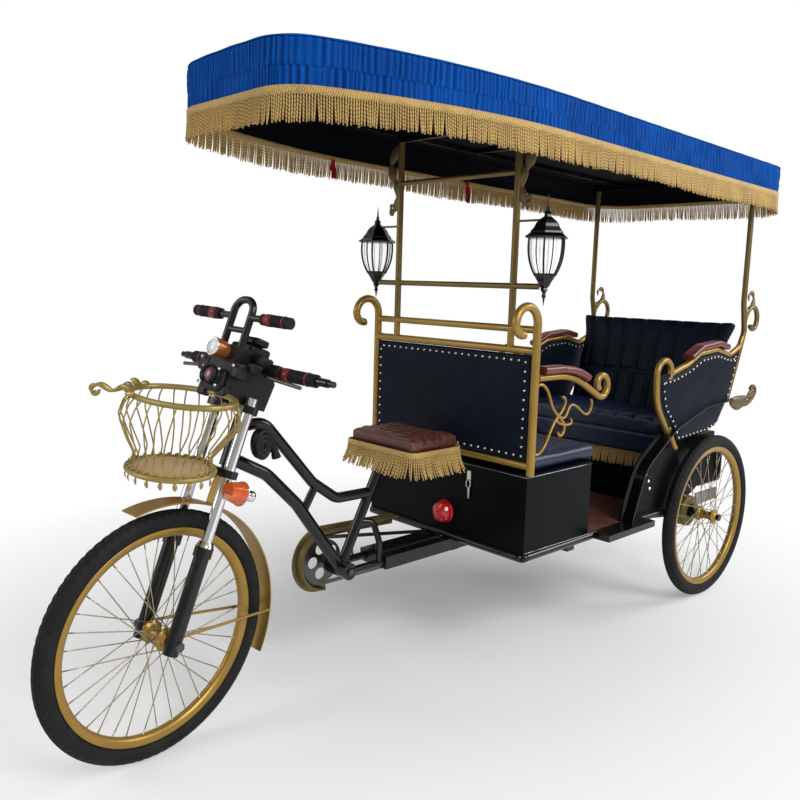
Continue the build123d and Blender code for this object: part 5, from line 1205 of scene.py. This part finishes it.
for side in bothSides:
    plateY = side * np.array([arch["y"] - arch["thick"], arch["y"]])[:, None, None]
    plates.append((xyz(flatPlate[..., 0], plateY, flatPlate[..., 1]), plateFaces))
    centres = [(x, side * arch["y"], z) for x, z in arch["bolts"]]
    bolts.append(studsOn(centres, (0, side, 0), arch["boltRadius"]))
    edgePath = smoothPath([(x, side * sideBoard["y"], z) for x, z in arch["edge"]], 20)
    edges.append(tubes(edgePath, arch["edgeRadius"], 12, across=(0, 1.0, 0)))
newPiece("arch_plates", plates, "carriage", "black_board", smooth=False)
newPiece("arch_bolts", bolts, "carriage", "chrome", smooth=False)
newPiece("board_edges", edges, "carriage", "gold_paint")

# Rear running gear: inner guards behind the wheels, drums on the axle and pale rail plates
rearGear = {"guard": ((-205, 322, 442), (60, 328, 612)), "plate": ((-235, 296, 347), (-45, 304, 397)),
            "bar": ((-200, 316, 436), (-20, 324, 446)), "square": 0.12,
            "drum": ((30, 262), (58, 264), (64, 270), (64, 300), (58, 306), (30, 308))}


def gearBox(corners, side):
    # a square-edged box between two corners, on the given side
    low, high = np.array(corners, float)
    return softBox((low + high) / 2 * [1, side, 1], (high - low) / 2, rearGear["square"])


guards = [gearBox(rearGear["guard"], side) for side in bothSides]
pale = [gearBox(rearGear[part], side) for side in bothSides for part in ("plate", "bar")]
drums = [lathe(rearGear["drum"], (0, 0, vehicle["axleZ"]), (0, side, 0), 36) for side in bothSides]
newPiece("inner_guards", guards, "carriage", "black_board")
newPiece("rail_plates", pale, "carriage", "steel", "rail_steel")
newPiece("axle_drums", drums, "carriage", "bronze_paint", "olive_gold")

# Hasp on the battery box: a strap, a loop and a hung key; and two short ribbons below the canopy
hasp = {"x": 1186.5, "y": 124.0, "strapZ": 618.0, "strap": (2.5, 8.0, 18.0), "loopZ": 592.0,
        "loop": (9.0, 13.0), "loopRadius": 2.0, "keyZ": 562.0, "key": (1.5, 4.0, 19.0), "out": 4.0,
        "keyAside": 3.0}
ribbon = {"places": ((625.0, 88.0), (1325.0, 62.0)), "half": 12.0, "y": -436.0, "top": 1652.0,
          "thick": 0.0008, "topWidth": 0.7, "widening": 0.3, "sway": 3.0, "swayRate": 5.0, "billow": 2.5,
          "billowRate": 7.0, "billowLag": 2.0, "billowShade": (0.4, 0.5)}
a = np.linspace(0, 2 * np.pi, 24, endpoint=False)
out = hasp["x"] + hasp["out"]
loop = xyz(out, hasp["y"] + hasp["loop"][0] * np.cos(a), hasp["loopZ"] + hasp["loop"][1] * np.sin(a))
haspParts = [softBox((hasp["x"], hasp["y"], hasp["strapZ"]), hasp["strap"], 0.2),
             tubes(loop, hasp["loopRadius"], 8, across=(1.0, 0, 0), closed=True),
             softBox((out, hasp["y"] + hasp["keyAside"], hasp["keyZ"]), hasp["key"], 0.3)]
newPiece("box_hasp", haspParts, "carriage", "chrome", "stud_dome")
billowShade, billowShadeWave = ribbon["billowShade"]
v, u = np.meshgrid(np.linspace(0, 1, 16), np.linspace(-1, 1, 7), indexing="ij")
for k, (x, drop) in enumerate(ribbon["places"]):
    # a strip that widens and waves a little on its way down
    stripX = x + ribbon["half"] * u * (ribbon["topWidth"] + ribbon["widening"] * v)
    stripX = stripX + ribbon["sway"] * np.sin(ribbon["swayRate"] * v)
    billow = ribbon["billow"] * np.sin(ribbon["billowRate"] * v + ribbon["billowLag"] * u)
    points = xyz(stripX, ribbon["y"] + billow, ribbon["top"] - drop * v)
    surface = (points, gridFaces(*v.shape))
    # painted shade on each ribbon, darker and lighter with its billow
    strip = newPiece(f"ribbon_{k}", [surface], "carriage", "gold_fringe", "red_ribbon",
                     along=billowShade + billowShadeWave * np.sin(ribbon["billowRate"] * v))
    wall = strip.modifiers.new("thickness", "SOLIDIFY")
    wall.thickness, wall.offset = ribbon["thick"], 0.0
    surfaceArea(surface)
print("trim made")

# Stage: pale floor, soft lamps and the camera at the photograph's place
stage = {"floorHalf": 30.0, "floorColour": (0.93, 0.93, 0.93), "fadeFrom": 0.6, "fadeTo": 2.4,
         "worldStrength": 0.42}
cameraFit = {"place": (3135.0, 1828.0, 1239.0), "yaw": 226.84, "pitch": -8.17, "roll": 1.55,
             "focalPixels": 806.9, "middle": (393.2, 397.6), "imageSide": 800}
lampTable = (
    # name, place, energy, size, aim
    ("keyLamp", (0.6, 5.8, 4.6), 270.0, 3.2, (0, 0, 0.8)),
    ("fillLamp", (5.2, -2.6, 3.0), 80.0, 3.0, (0, 0, 0.8)),
    ("backLamp", (-4.6, 3.0, 3.4), 120.0, 2.6, (0, 0, 0.9)),
)


def floorFinish():
    # matt near the vehicle, for its shadow, and plain white to the camera farther out
    f = Finish("paleFloor")
    distance = f.node("ShaderNodeVectorMath", {"operation": "LENGTH"}, {0: f.here}, out="Value")
    camera = f.node("ShaderNodeLightPath", out="Is Camera Ray")
    fade = f.ramp(distance, stage["fadeFrom"], stage["fadeTo"]) * camera
    f.shade(Base_Color=(*stage["floorColour"], 1), Roughness=0.9, Specular_IOR_Level=0.0)
    plain = f.node("ShaderNodeEmission", {}, {"Color": (1, 1, 1, 1)})
    blend = f.node("ShaderNodeMixShader", {}, {0: fade, 1: Val(f.tree, f.shader.outputs[0]), 2: plain})
    f.put(f.tree.nodes["Material Output"].inputs["Surface"], blend)
    return f.material


half = stage["floorHalf"]
floorMesh = bpy.data.meshes.new("paleFloor")
corners = [(-half, -half, 0), (half, -half, 0), (half, half, 0), (-half, half, 0)]
floorMesh.from_pydata(corners, [], [(0, 1, 2, 3)])
floorPiece = bpy.data.objects.new("paleFloor", floorMesh)
floorPiece.data.materials.append(floorFinish())
bpy.context.scene.collection.objects.link(floorPiece)


def aimed(back, up):
    # a rotation whose Z is the back direction and whose Y is nearest the up direction
    back = unit(np.asarray(back, float))
    right = unit(np.cross(up, back))
    return Matrix(np.stack([right, np.cross(back, right), back], 1).tolist()).to_4x4()


for lampName, lampPlace, energy, lampSize, aim in lampTable:
    lamp = bpy.data.lights.new(lampName, "AREA")
    lamp.energy, lamp.size = energy, lampSize
    lampObject = bpy.data.objects.new(lampName, lamp)
    lampObject.matrix_world = Matrix.Translation(lampPlace) @ aimed(np.subtract(lampPlace, aim), (0, 0, 1))
    bpy.context.scene.collection.objects.link(lampObject)

# the world is white to the camera and through glass, and dimmer as a light
world = bpy.data.worlds.new("softWorld")
world.use_nodes = True
bpy.context.scene.world = world
worldTree = world.node_tree
backdrop = worldTree.nodes["Background"]
backdrop.inputs["Color"].default_value = (1, 1, 1, 1)
rays = worldTree.nodes.new("ShaderNodeLightPath").outputs
seen = Val(worldTree, rays["Is Camera Ray"]).math("MAXIMUM", Val(worldTree, rays["Is Transmission Ray"]))
level = seen * (1 - stage["worldStrength"]) + stage["worldStrength"]
worldTree.links.new(level.socket, backdrop.inputs["Strength"])

yaw, pitch, roll = np.radians([cameraFit["yaw"], cameraFit["pitch"], cameraFit["roll"]])
ahead = np.array([np.cos(yaw) * np.cos(pitch), np.sin(yaw) * np.cos(pitch), np.sin(pitch)])
right = unit(np.cross(ahead, upright))
upward = np.cross(right, ahead)
rolled = np.cos(roll) * right + np.sin(roll) * upward
columns = np.stack([rolled, np.cos(roll) * upward - np.sin(roll) * right, -ahead], 1)
lensData = bpy.data.cameras.new("photoCamera")
lensData.sensor_width = 36.0
lensData.lens = lensData.sensor_width * cameraFit["focalPixels"] / cameraFit["imageSide"]
lensData.shift_x = 0.5 - cameraFit["middle"][0] / cameraFit["imageSide"]
lensData.shift_y = cameraFit["middle"][1] / cameraFit["imageSide"] - 0.5
cameraObject = bpy.data.objects.new("photoCamera", lensData)
cameraPlace = Matrix.Translation(place(cameraFit["place"]).tolist())
cameraObject.matrix_world = cameraPlace @ Matrix(columns.tolist()).to_4x4()
bpy.context.scene.collection.objects.link(cameraObject)
bpy.context.scene.camera = cameraObject
bpy.context.scene.view_settings.view_transform = "Standard"
print("stage set")
